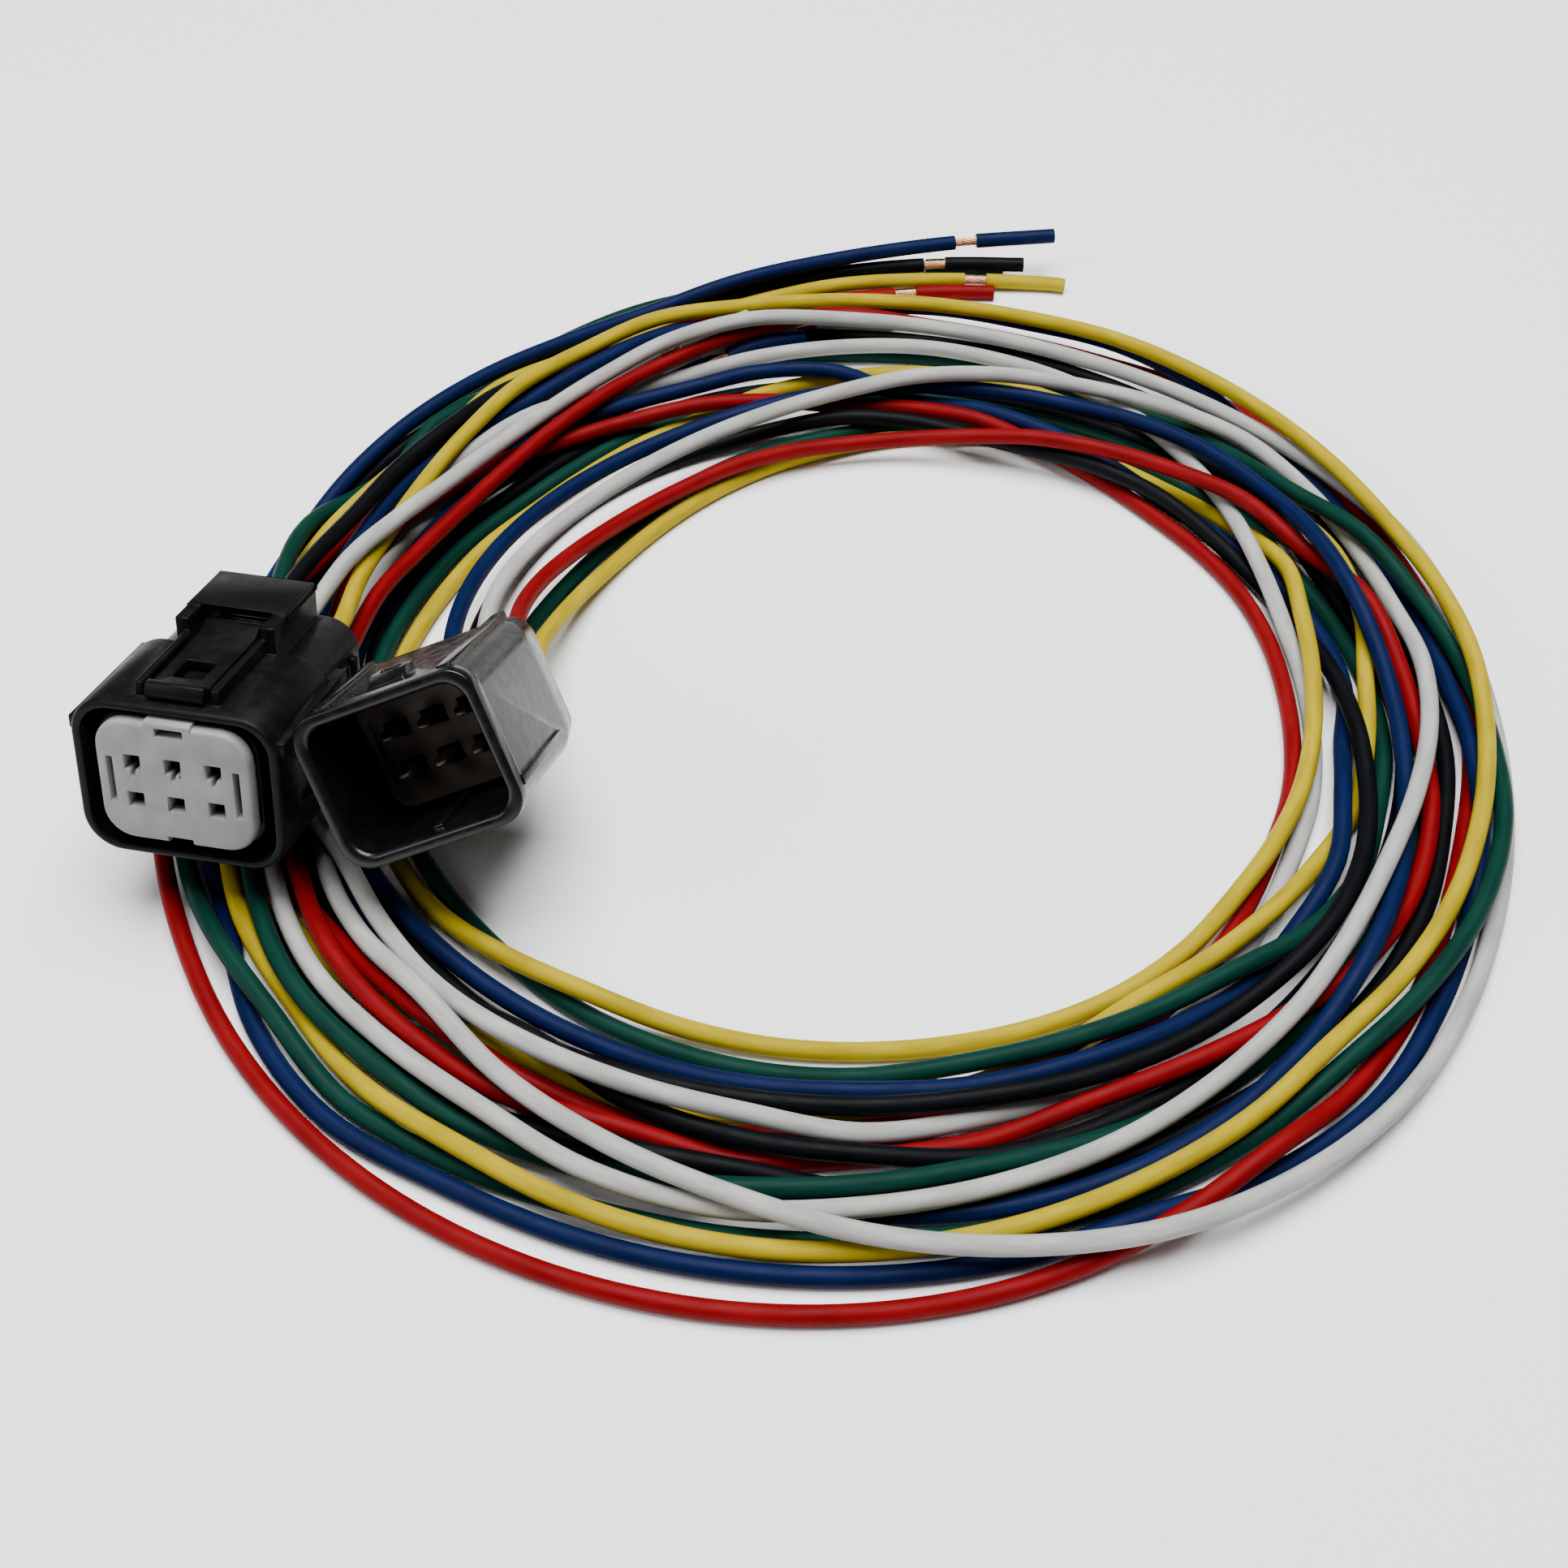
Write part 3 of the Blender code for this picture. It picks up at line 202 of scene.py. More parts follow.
def polar(point):
    """Degrees travelled and radius of a point round the coil's centre."""
    dx, dy = point[0] - COIL_CENTRE[0], point[1] - COIL_CENTRE[1]
    return 180.0 - math.degrees(math.atan2(dy, dx)) % 360.0, math.hypot(dx, dy)


def from_polar(travel, radius, height):
    """The point in mm that polar() gives this travel and radius for."""
    angle = math.radians(180.0 - travel)
    return (COIL_CENTRE[0] + radius * math.cos(angle), COIL_CENTRE[1] + radius * math.sin(angle), height)


def ceilings(travel, radius):
    """Highest centreline a passing wire may take under the connectors, at each point."""
    angle = np.radians(180.0 - travel)
    x, y = COIL_CENTRE[0] + radius * np.cos(angle), COIL_CENTRE[1] + radius * np.sin(angle)
    roof = np.full(len(travel), OPEN_SKY)
    for place, (width, height, length) in ((FEMALE_PLACE, FEMALE_SHADOW), (MALE_PLACE, MALE_SHADOW)):
        into = np.array(connector_matrix(place).inverted())
        foot = into[:3, :3] @ np.stack([x, y, 0.0 * x]) + into[:3, 3:]
        enter, leave = np.full(len(x), -OPEN_SKY), np.full(len(x), OPEN_SKY)
        spans = ((-width / 2, width / 2), (0.0, length), (-height / 2, height / 2))
        for near, (low, high), climb in zip(foot, spans, into[:3, 2]):
            one, two = (low - UNDER_GAP - near) / climb, (high + UNDER_GAP - near) / climb
            enter, leave = np.maximum(enter, np.minimum(one, two)), np.minimum(leave, np.maximum(one, two))
        roof = np.where(enter < leave, np.minimum(roof, enter), roof)
    return np.maximum(roof, ON_TABLE)


def first_layout():
    """Every wire's stations before settling: (radius, height), travel, held or free, and owner."""
    points, travel, held, owner = [], [], [], []
    for name, wire in WIRES.items():
        _, length, _ = connector_of(name)
        straight = cavity_line(name, (length + LEAD_START, length + LEAD_LENGTH))
        first = STATION * math.ceil((polar(straight[-1])[0] + LEAD_ROOM) / STATION)
        stations = np.arange(first, wire["lanes"][-1][0] + STATION, STATION)
        lanes = smooth_values(wire["lanes"], stations)
        free = np.stack([lanes[:, 0], WIRE_D / 2 + lanes[:, 1] * LEVEL], axis=1)
        points += [(polar(p)[1], p[2]) for p in straight] + [tuple(p) for p in free]
        travel += [polar(p)[0] for p in straight] + list(stations)
        held += [True] * len(straight) + [False] * len(free)
        owner += [name] * (len(straight) + len(free))
    return np.array(points), np.array(travel), np.array(held), owner


def neighbours(travel, owner):
    """First points of every two stretches that cross one sector, and points between two others."""
    count = len(owner)
    chain = np.array([i for i in range(count - 1) if owner[i] == owner[i + 1]])
    sectors = int(360 / STATION)
    sector = np.array([int(math.floor((travel[i] + travel[i + 1]) / 2 / STATION)) % sectors for i in chain])
    pairs = np.array([(chain[a], chain[b]) for a in range(len(chain)) for b in range(a + 1, len(chain))
                      if sector[a] == sector[b]])
    inner = np.array([i for i in range(1, count - 1) if owner[i - 1] == owner[i] == owner[i + 1]])
    return pairs[:, 0], pairs[:, 1], inner


def push_apart(points, a0, b0):
    """Moves every two stretches that are closer than LANE_GAP away from each other."""
    first, second = points[a0] - points[b0], points[a0 + 1] - points[b0 + 1]
    change = second - first
    t = np.clip(-(first * change).sum(1) / np.maximum((change**2).sum(1), 1e-9), 0.0, 1.0)
    apart = first + t[:, None] * change
    size = np.maximum(np.linalg.norm(apart, axis=1), 1e-6)
    push = np.maximum(LANE_GAP - size, 0.0)
    hit = push > 0
    move = (PUSH_SHARE * push / size)[:, None] * apart
    shift, weight = np.zeros_like(points), np.full(len(points), 1e-9)
    for index, sign, share in ((a0, 1, 1 - t), (a0 + 1, 1, t), (b0, -1, 1 - t), (b0 + 1, -1, t)):
        np.add.at(shift, index[hit], (sign * share[:, None] * move)[hit])
        np.add.at(weight, index[hit], share[hit])
    points += shift / np.maximum(weight, 1.0)[:, None] * CROWDING


def coil_routes():
    """Every wire's points round the coil, kept apart from all the others."""
    points, travel, held, owner = first_layout()
    rest = points.copy()
    a0, b0, inner = neighbours(travel, owner)
    passing = travel > PASSING_FROM
    for step in range(SETTLING):
        left = 1.0 - step / (GUIDED * SETTLING)
        if left > 0.0:
            points += left * (rest - points) * LANE_PULL
            middle = (points[inner - 1] + points[inner + 1]) / 2
            points[inner] += STIFFNESS * (middle - points[inner])
            points[:, 1] -= SINKING
        push_apart(points, a0, b0)
        roof = np.where(passing, ceilings(travel, points[:, 0]), OPEN_SKY)
        points[:, 1] = np.clip(points[:, 1], ON_TABLE, roof)
        points[held] = rest[held]
    routes = {}
    for name, wire in WIRES.items():
        own = [i for i, wire_name in enumerate(owner) if wire_name == name]
        route = [Vector(from_polar(travel[i], *points[i])) for i in own]
        beyond = travel[own[-1]] - wire["lanes"][-1][0]
        route[-1] = route[-1].lerp(route[-2], beyond / STATION)
        routes[name] = [tuple(point) for point in route]
    return routes


def wire_route(name, coil_points):
    """The whole centreline of a wire, in mm, from its terminal to its end."""
    _, length, crimp = connector_of(name)
    inside = cavity_line(name, (length - crimp, length - 1.0))
    return [tuple(p) for p in inside] + coil_points


def cut_route(route, first, last):
    """The part of a route between two distances from its start."""
    points = [Vector(p) for p in route]
    done, part = 0.0, []
    for a, b in zip(points, points[1:]):
        span = (b - a).length
        if done <= first < done + span:
            part.append(a.lerp(b, (first - done) / span))
        if first < done + span < last:
            part.append(b)
        if done < last <= done + span:
            part.append(a.lerp(b, (last - done) / span))
            break
        done += span
    return part


def route_length(route):
    """Length of a route along its points."""
    return sum((Vector(b) - Vector(a)).length for a, b in zip(route, route[1:]))


# ---- camera ----------------------------------------------
CAMERA_ELEVATION = math.radians(45)
CAMERA_DISTANCE = 0.203
CAMERA_LENS = 51.43
SENSOR_WIDTH = 36.0
AIM = Vector((COIL_CENTRE[0] - 6.0, COIL_CENTRE[1] - 12.0, 0.0)) * MM


def make_camera():
    """A camera in front of the object, looking down at the coil."""
    camera = bpy.data.cameras.new("camera")
    camera.sensor_width = SENSOR_WIDTH
    camera.lens = CAMERA_LENS
    camera.clip_start = 0.01
    holder = bpy.data.objects.new("camera", camera)
    bpy.context.scene.collection.objects.link(holder)
    back = Vector((0, -math.cos(CAMERA_ELEVATION), math.sin(CAMERA_ELEVATION)))
    holder.location = AIM + back * CAMERA_DISTANCE
    holder.rotation_euler = (math.pi / 2 - CAMERA_ELEVATION, 0, 0)
    bpy.context.scene.camera = holder


# ---- materials -------------------------------------------
RAMP_ENDS = (0.35, 0.65)       # noise values that get the first and the last colour
SPREAD_ENDS = (0.3, 0.7)       # noise values that get the lowest and the highest roughness
PLASTIC_GRAIN, METAL_GRAIN, SILICONE_GRAIN, SKIN_GRAIN = 6e-6, 4e-6, 1e-5, 1.2e-5   # metres deep


def new_material(name):
    """A material, its node tree and its surface shader."""
    made = bpy.data.materials.new(name)
    made.use_nodes = True
    tree = made.node_tree
    return made, tree, tree.nodes["Principled BSDF"]


def noise(tree, scale, detail=3.0, stretch=(1, 1, 1), coordinates="Object"):
    """A noise texture over the object's own coordinates, its scale in features per metre."""
    where = tree.nodes.new("ShaderNodeTexCoord")
    mapping = tree.nodes.new("ShaderNodeMapping")
    mapping.inputs["Scale"].default_value = stretch
    texture = tree.nodes.new("ShaderNodeTexNoise")
    texture.inputs["Scale"].default_value = scale
    texture.inputs["Detail"].default_value = detail
    tree.links.new(where.outputs[coordinates], mapping.inputs["Vector"])
    tree.links.new(mapping.outputs["Vector"], texture.inputs["Vector"])
    return texture.outputs["Fac"]


def ramp(tree, value, low, high):
    """Maps a value onto colours from low to high."""
    node = tree.nodes.new("ShaderNodeValToRGB")
    for element, position, colour in zip(node.color_ramp.elements, RAMP_ENDS, (low, high)):
        element.position = position
        element.color = (*colour, 1)
    tree.links.new(value, node.inputs["Fac"])
    return node.outputs["Color"]


def spread(tree, value, low, high):
    """Maps a value onto numbers from low to high."""
    node = tree.nodes.new("ShaderNodeMapRange")
    node.inputs["From Min"].default_value = SPREAD_ENDS[0]
    node.inputs["From Max"].default_value = SPREAD_ENDS[1]
    node.inputs["To Min"].default_value = low
    node.inputs["To Max"].default_value = high
    tree.links.new(value, node.inputs["Value"])
    return node.outputs["Result"]


def bump(tree, shader, value, distance):
    """Lets a value raise the surface by up to a distance in metres."""
    node = tree.nodes.new("ShaderNodeBump")
    node.inputs["Distance"].default_value = distance
    node.inputs["Strength"].default_value = 1.0
    tree.links.new(value, node.inputs["Height"])
    tree.links.new(node.outputs["Normal"], shader.inputs["Normal"])


def moulded_plastic(name, dark, light, rough, specular):
    """Injection-moulded plastic: slight mottling, uneven gloss and a very fine grain."""
    made, tree, shader = new_material(name)
    tree.links.new(ramp(tree, noise(tree, 450, 5), dark, light), shader.inputs["Base Color"])
    tree.links.new(spread(tree, noise(tree, 900, 4), *rough), shader.inputs["Roughness"])
    bump(tree, shader, noise(tree, 9000, 2), PLASTIC_GRAIN)
    shader.inputs["Specular IOR Level"].default_value = specular
    return made


def insulation(name, colour):
    """Extruded insulation: streaks along the wire, faint scuffs and a satin skin."""
    made, tree, shader = new_material(name)
    dark = tuple(c * 0.82 for c in colour)
    light = tuple(min(1.0, c * 1.12 + 0.001) for c in colour)
    tree.links.new(ramp(tree, noise(tree, 1.0, 4, (6, 180, 1), "UV"), dark, light),
                   shader.inputs["Base Color"])
    tree.links.new(spread(tree, noise(tree, 1.0, 5, (9, 500, 1), "UV"), 0.42, 0.58),
                   shader.inputs["Roughness"])
    bump(tree, shader, noise(tree, 1.0, 3, (14, 90, 1), "UV"), SKIN_GRAIN)
    shader.inputs["Specular IOR Level"].default_value = 0.06
    return made


def metal(name, colour, rough, stretch):
    """Bare metal with drawn or rolled lines along one way."""
    made, tree, shader = new_material(name)
    dark = tuple(c * 0.72 for c in colour)
    tree.links.new(ramp(tree, noise(tree, 1500, 4, stretch), dark, colour), shader.inputs["Base Color"])
    tree.links.new(spread(tree, noise(tree, 3000, 3, stretch), *rough), shader.inputs["Roughness"])
    bump(tree, shader, noise(tree, 5000, 2, stretch), METAL_GRAIN)
    shader.inputs["Metallic"].default_value = 1.0
    return made


def silicone(name, colour):
    """Matt silicone rubber with faint patches."""
    made, tree, shader = new_material(name)
    dark = tuple(c * 0.8 for c in colour)
    tree.links.new(ramp(tree, noise(tree, 700, 4), dark, colour), shader.inputs["Base Color"])
    tree.links.new(spread(tree, noise(tree, 1200, 4), 0.45, 0.7), shader.inputs["Roughness"])
    bump(tree, shader, noise(tree, 6000, 3), SILICONE_GRAIN)
    return made


WIRE_COLOURS = {
    "red": (0.155, 0.0008, 0.003),
    "yellow": (0.35, 0.26, 0.005),
    "white": (0.34, 0.34, 0.325),
    "blue": (0.002, 0.007, 0.042),
    "black": (0.0015, 0.002, 0.003),
    "green": (0.0006, 0.026, 0.018),
}
BLACKS = ((0.002, 0.0022, 0.0026), (0.0035, 0.004, 0.0045))
GREYS = ((0.19, 0.195, 0.195), (0.235, 0.24, 0.24))
# tan of the male lock plate, darkened to paint the shade inside the male's shroud
SHADE_DARKENED_TANS = ((0.050, 0.036, 0.026), (0.075, 0.056, 0.042))
PLASTICS = {                   # darkest and lightest colour, range of roughness, specular level
    "black_plastic": (*BLACKS, (0.34, 0.48), 0.09),
    "gloss_black": (*BLACKS, (0.18, 0.32), 0.34),
    "grey_plastic": (*GREYS, (0.34, 0.5), 0.2),
    "tan_plastic_painted_shade": (*SHADE_DARKENED_TANS, (0.5, 0.7), 0.5),
}
ROLLED = (1, 0.15, 1)          # noise drawn out along Y
EVEN = (1, 1, 1)


def make_materials():
    """Every material that a piece can have, by the short name that add_piece takes."""
    made = {colour: insulation(f"{colour}_insulation", value) for colour, value in WIRE_COLOURS.items()}
    made.update({name: moulded_plastic(name, *values) for name, values in PLASTICS.items()})
    # tin of the male blades, darkened to paint the shade inside the male's shroud; the real blades are
    # bright tin
    made["shade_darkened_tin"] = metal("shade_darkened_tin", (0.16, 0.14, 0.12), (0.45, 0.6), ROLLED)
    made["seal"] = silicone("silicone_seal", (0.40, 0.09, 0.045))
    made["tin"] = metal("tinned_sheet", (0.78, 0.78, 0.75), (0.22, 0.42), ROLLED)
    made["copper"] = metal("copper_strands", (0.83, 0.42, 0.24), (0.25, 0.45), EVEN)
    return made


MATERIALS = make_materials()


def connector_world(place):
    """World matrix of a connector whose meshes are in metres."""
    turn = connector_matrix(place)
    return Matrix.Translation(turn.translation * MM) @ turn.to_3x3().to_4x4()


PLACES = {"female": connector_world(FEMALE_PLACE), "male": connector_world(MALE_PLACE)}


def add_piece(name, mesh, kind, body, node, world=None):
    """Puts a finished mesh into the scene, riding on a body in place of a CAD node."""
    made = bpy.data.objects.new(name, mesh)
    bpy.context.scene.collection.objects.link(made)
    mesh.materials.clear()
    mesh.materials.append(MATERIALS[kind])
    if world:
        made.matrix_world = world
    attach(made, body)
    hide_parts(node)
    return made


# ---- the wires' pieces -----------------------------------
TUBE_SIDES = 14
TUBE_STEP = 1.6
BORE = CORE_D * 1.04
RIM_BREAK = 0.06               # how far the insulation's cut edge is rounded in
BORE_DEPTH = 0.5               # how deep the open end of the insulation goes
STRANDS = ((1, 0.0), (6, 0.19), (12, 0.375))   # strands in a layer, and the layer's radius
STRAND_D = 0.185
STRAND_SIDES = 6
STRAND_TWIST = 11.0            # length of one twist of the strands
STRAND_OVERLAP = 0.3           # how far the bare strands reach back into the insulation
STRAND_STEP, TIP_STEP = 0.5, 1.0
SHARP = math.radians(50)       # edges sharper than this stay sharp


def smooth_route(route):
    """A Catmull-Rom curve through a route's points, one point about every TUBE_STEP mm."""
    points = [Vector(p) for p in route]
    points = [points[0] * 2 - points[1]] + points + [points[-1] * 2 - points[-2]]
    curve = []
    for a, b, c, d in zip(points, points[1:], points[2:], points[3:]):
        k0, k1, k2 = (max(span.length, 1e-6) ** 0.5 for span in (b - a, c - b, d - c))
        out = (b - a) / k0 - (c - a) / (k0 + k1) + (c - b) / k1
        into = (c - b) / k1 - (d - b) / (k1 + k2) + (d - c) / k2
        out, into = out * k1, into * k1
        steps = max(2, round((c - b).length / TUBE_STEP))
        for t in (i / steps for i in range(steps)):
            curve.append(b * (2 * t**3 - 3 * t**2 + 1) + out * (t**3 - 2 * t**2 + t)
                         + c * (3 * t**2 - 2 * t**3) + into * (t**3 - t**2))
            curve[-1].z = max(curve[-1].z, ON_TABLE)
    return curve + [points[-2]]


def frames_along(points):
    """(point, side, up, distance) along a line, its cross directions turned as little as can be."""
    tangents = [(b - a).normalized() for a, b in zip(points, points[1:])]
    tangents.append(tangents[-1])
    side = tangents[0].cross(Vector((0, 0, 1))).normalized()
    found, done = [], 0.0
    for i, point in enumerate(points):
        tangent = tangents[i] if i == 0 else (tangents[i - 1] + tangents[i]).normalized()
        side = (side - tangent * side.dot(tangent)).normalized()
        if i:
            done += (point - points[i - 1]).length
        found.append((point, side, tangent.cross(side), done))
    return found


def add_ring(shape, centre, side, up, radius, sides):
    """A ring of points round a centre, in mm."""
    return [shape.verts.new((centre + side * (radius * math.cos(a)) + up * (radius * math.sin(a))) * MM)
            for a in (2 * math.pi * k / sides for k in range(sides))]


def join_rings(shape, one, two):
    """Faces from each side of one ring to the same side of the next."""
    return [shape.faces.new((one[k - 1], one[k], two[k], two[k - 1])) for k in (*range(1, len(one)), 0)]


def sweep(shape, frames, radius, sides, offset=None):
    """Skins rings along frames into an open-ended tube; UV is (turn, metres)."""
    uv = shape.loops.layers.uv.verify()
    rings = []
    for point, side, up, done in frames:
        centre = point + offset(side, up, done) if offset else point
        rings.append(add_ring(shape, centre, side, up, radius, sides))
    for i, (one, two) in enumerate(zip(rings, rings[1:])):
        for k, face in enumerate(join_rings(shape, one, two)):
            face.smooth = True
            for loop, (u, v) in zip(face.loops, ((k, i), (k + 1, i), (k + 1, i + 1), (k, i + 1))):
                loop[uv].uv = (u / sides, frames[v][3] * MM)
    return rings


def tube_mesh(name, points):
    """Insulation: a tube with softly broken ends and the bore that the strands fill."""
    frames = frames_along(points)
    shape = bmesh.new()
    rings = sweep(shape, frames, WIRE_D / 2, TUBE_SIDES)
    steps = ((WIRE_D / 2 - RIM_BREAK, -0.04), (BORE / 2 + 0.03, -0.04), (BORE / 2, BORE_DEPTH))
    for ring, (point, side, up, _), outward in ((rings[0], frames[0], 1), (rings[-1], frames[-1], -1)):
        along = side.cross(up).normalized() * outward
        inner = [add_ring(shape, point + along * depth, side, up, radius, TUBE_SIDES)
                 for radius, depth in steps]
        for one, two in zip([ring] + inner, inner):
            join_rings(shape, one, two)
        shape.faces.new(inner[-1])
    mesh = as_mesh(shape, name)
    mesh.set_sharp_from_angle(angle=SHARP)
    return mesh


def strand_mesh(name, points):
    """Twisted copper strands, nineteen in three layers."""
    frames = frames_along(points)
    shape = bmesh.new()
    for count, radius in STRANDS:
        for number in range(count):
            start = 2 * math.pi * number / count

            def twist(side, up, done, radius=radius, start=start):
                angle = start + 2 * math.pi * done / STRAND_TWIST
                return side * (radius * math.cos(angle)) + up * (radius * math.sin(angle))

            rings = sweep(shape, frames, STRAND_D / 2, STRAND_SIDES, twist)
            shape.faces.new(rings[0][::-1])
            shape.faces.new(rings[-1])
    return as_mesh(shape, name)


def resample(points, step):
    """The same line with points every step mm."""
    whole = route_length(points)
    count = max(2, round(whole / step))
    marks = [whole * i / count for i in range(count + 1)]
    found, done, i = [], 0.0, 0
    for mark in marks:
        while i < len(points) - 2 and done + (points[i + 1] - points[i]).length < mark:
            done += (points[i + 1] - points[i]).length
            i += 1
        span = (points[i + 1] - points[i]).length
        found.append(points[i].lerp(points[i + 1], min(1.0, (mark - done) / span)))
    return found


def make_wires():
    """Each wire's insulation, bare strands and slug."""
    for name, coil_points in coil_routes().items():
        colour = name.split("_")[1]
        line = smooth_route(wire_route(name, coil_points))
        whole = route_length(line)
        cut = whole - SLUG_LENGTH - STRIP_LENGTH
        body = cut_route(line, 0.0, cut)
        strands = resample(cut_route(line, cut - STRAND_OVERLAP, whole - 0.02), STRAND_STEP)
        tip = resample(cut_route(line, whole - SLUG_LENGTH, whole), TIP_STEP)
        conductor = add_piece(f"{name}_strands", strand_mesh(f"{name}_strands", strands),
                              "copper", "root", f"{name}_conductor")
        slug = add_piece(f"{name}_tip", tube_mesh(f"{name}_tip", tip),
                         colour, "root", f"{name}_slug")
        wire = add_piece(f"{name}_insulation", tube_mesh(f"{name}_insulation", body),
                         colour, "root", f"{name}_wire")


# ---- solid building blocks -------------------------------
PEG_SIDES = 20
EDGE_SEGMENTS = 2
EDGE_ANGLE = math.radians(34)  # edges sharper than this are broken


def outline(width, height, radius, segments):
    """A rounded rectangle in X and Z."""
    points = []
    for corner, (sx, sz) in enumerate(((1, 1), (-1, 1), (-1, -1), (1, -1))):
        for step in range(segments + 1):
            angle = math.pi / 2 * (corner + step / segments)
            points.append((sx * (width / 2 - radius) + radius * math.cos(angle),
                           sz * (height / 2 - radius) + radius * math.sin(angle)))
    return points


def loft(rings, segments=7):
    """A closed solid skinned through rounded rectangles: (width, height, radius, y, x, z) in mm."""
    shape = bmesh.new()
    loops = []
    for width, height, radius, y, x, z in rings:
        loops.append([shape.verts.new(Vector((px + x, y, pz + z)) * MM)
                      for px, pz in outline(width, height, radius, segments)])
    for one, two in zip(loops, loops[1:]):
        join_rings(shape, one, two)
    shape.faces.new(loops[0][::-1])
    shape.faces.new(loops[-1])
    return as_mesh(shape)


def boxes(*spans):
    """Boxes in one mesh, each ((x0, x1), (y0, y1), (z0, z1)) in mm."""
    shape = bmesh.new()
    for (x0, x1), (y0, y1), (z0, z1) in spans:
        centre = Matrix.Translation(Vector(((x0 + x1) / 2, (y0 + y1) / 2, (z0 + z1) / 2)) * MM)
        size = Matrix.Diagonal((*(Vector((x1 - x0, y1 - y0, z1 - z0)) * MM), 1.0))
        bmesh.ops.create_cube(shape, size=1.0, matrix=centre @ size)
    return as_mesh(shape)


def prism(outline_yz, x0, x1):
    """A flat outline in Y and Z pushed from x0 to x1, in mm."""
    shape = bmesh.new()
    face = shape.faces.new([shape.verts.new(Vector((x0, y, z)) * MM) for y, z in outline_yz])
    pushed = bmesh.ops.extrude_face_region(shape, geom=[face])
    moved = [item for item in pushed["geom"] if isinstance(item, bmesh.types.BMVert)]
    bmesh.ops.translate(shape, verts=moved, vec=Vector((x1 - x0, 0, 0)) * MM)
    return as_mesh(shape)


def pegs(centres, radius, y0, y1, radius_end=None):
    """Round rods or cones along Y at (x, z) centres, in mm."""
    shape = bmesh.new()
    for x, z in centres:
        at = Matrix.Translation(Vector((x, (y0 + y1) / 2, z)) * MM) @ Matrix.Rotation(math.pi / 2, 4, "X")
        bmesh.ops.create_cone(shape, cap_ends=True, segments=PEG_SIDES, depth=(y1 - y0) * MM, matrix=at,
                              radius2=radius * MM, radius1=(radius_end or radius) * MM)
    return as_mesh(shape)


def funnels(centres, mouth, throat, y0, y1):
    """Square tapers along Y, as wide as mouth at y0 and as throat at y1, in mm."""
    shape = bmesh.new()
    for x, z in centres:
        near, far = ([shape.verts.new(Vector((x + sx * half, y, z + sz * half)) * MM)
                      for sx, sz in ((1, 1), (-1, 1), (-1, -1), (1, -1))]
                     for half, y in ((mouth / 2, y0), (throat / 2, y1)))
        join_rings(shape, near, far)
        shape.faces.new(near[::-1])
        shape.faces.new(far)
    return as_mesh(shape)


def as_mesh(shape, name="form"):
    """Turns a finished shape into a mesh with its faces outward."""
    bmesh.ops.recalc_face_normals(shape, faces=shape.faces)
    mesh = bpy.data.meshes.new(name)
    shape.to_mesh(mesh)
    shape.free()
    return mesh


def moulded(base, joins=(), cuts=(), edge=0.0):
    """Joins and cuts forms, breaks the sharp edges by `edge` mm, and returns the finished mesh."""
    forms = []

    def temporary(mesh):
        made = bpy.data.objects.new("form", mesh)
        bpy.context.scene.collection.objects.link(made)
        forms.append(made)
        return made

    target = temporary(base)
    for operation, meshes in (("UNION", joins), ("DIFFERENCE", cuts)):
        for mesh in meshes:
            modifier = target.modifiers.new(operation, "BOOLEAN")
            modifier.operation = operation
            modifier.solver = "EXACT"
            modifier.object = temporary(mesh)
    if edge:
        bevel = target.modifiers.new("edges", "BEVEL")
        bevel.width = edge * MM
        bevel.segments = EDGE_SEGMENTS
        bevel.limit_method = "ANGLE"
        bevel.angle_limit = EDGE_ANGLE
        bevel.use_clamp_overlap = False
        bevel.miter_outer = "MITER_ARC"
    normals = target.modifiers.new("normals", "WEIGHTED_NORMAL")
    normals.keep_sharp = True
    bpy.context.view_layer.update()
    graph = bpy.context.evaluated_depsgraph_get()
    mesh = bpy.data.meshes.new_from_object(target.evaluated_get(graph), depsgraph=graph)
    for form in forms:
        bpy.data.objects.remove(form)
    mesh.shade_smooth()
    mesh.set_sharp_from_angle(angle=SHARP)
    return mesh


def cavities():
    """(x, z) of the six cavities, upper row first."""
    return [(column * PITCH, row * PITCH / 2) for row in (1, -1) for column in (-1, 0, 1)]


def squares(centres, size, y0, y1):
    """Square rods along Y at (x, z) centres, in mm."""
    half = size / 2
    return boxes(*[((x - half, x + half), (y0, y1), (z - half, z + half)) for x, z in centres])


def mirrored(span):
    """A box's spans and those of the same box on the other side of X = 0."""
    (x0, x1), *rest = span
    return [((x0, x1), *rest), ((-x1, -x0), *rest)]


# ---- shared rear end: wire seal and cap ------------------
CAVITY = 2.6                   # square terminal cavity
SEAL_PAD = (12.0, 8.9, 2.0)    # width, height and corner radius of the wire seal and its cap
POCKET = (SEAL_PAD[0] + 2 * GAP, SEAL_PAD[1] + 2 * GAP, SEAL_PAD[2])
FEMALE_POCKET_FLOOR, MALE_POCKET_FLOOR = 15.0, 14.6
CAP_THICK = 1.4
WIRE_HOLE = 2.3
SEAL_RIBS, RING_STEPS = 3, 4   # ribs of the wire seal, and rings to each of them
RIB_HEIGHT = 0.45


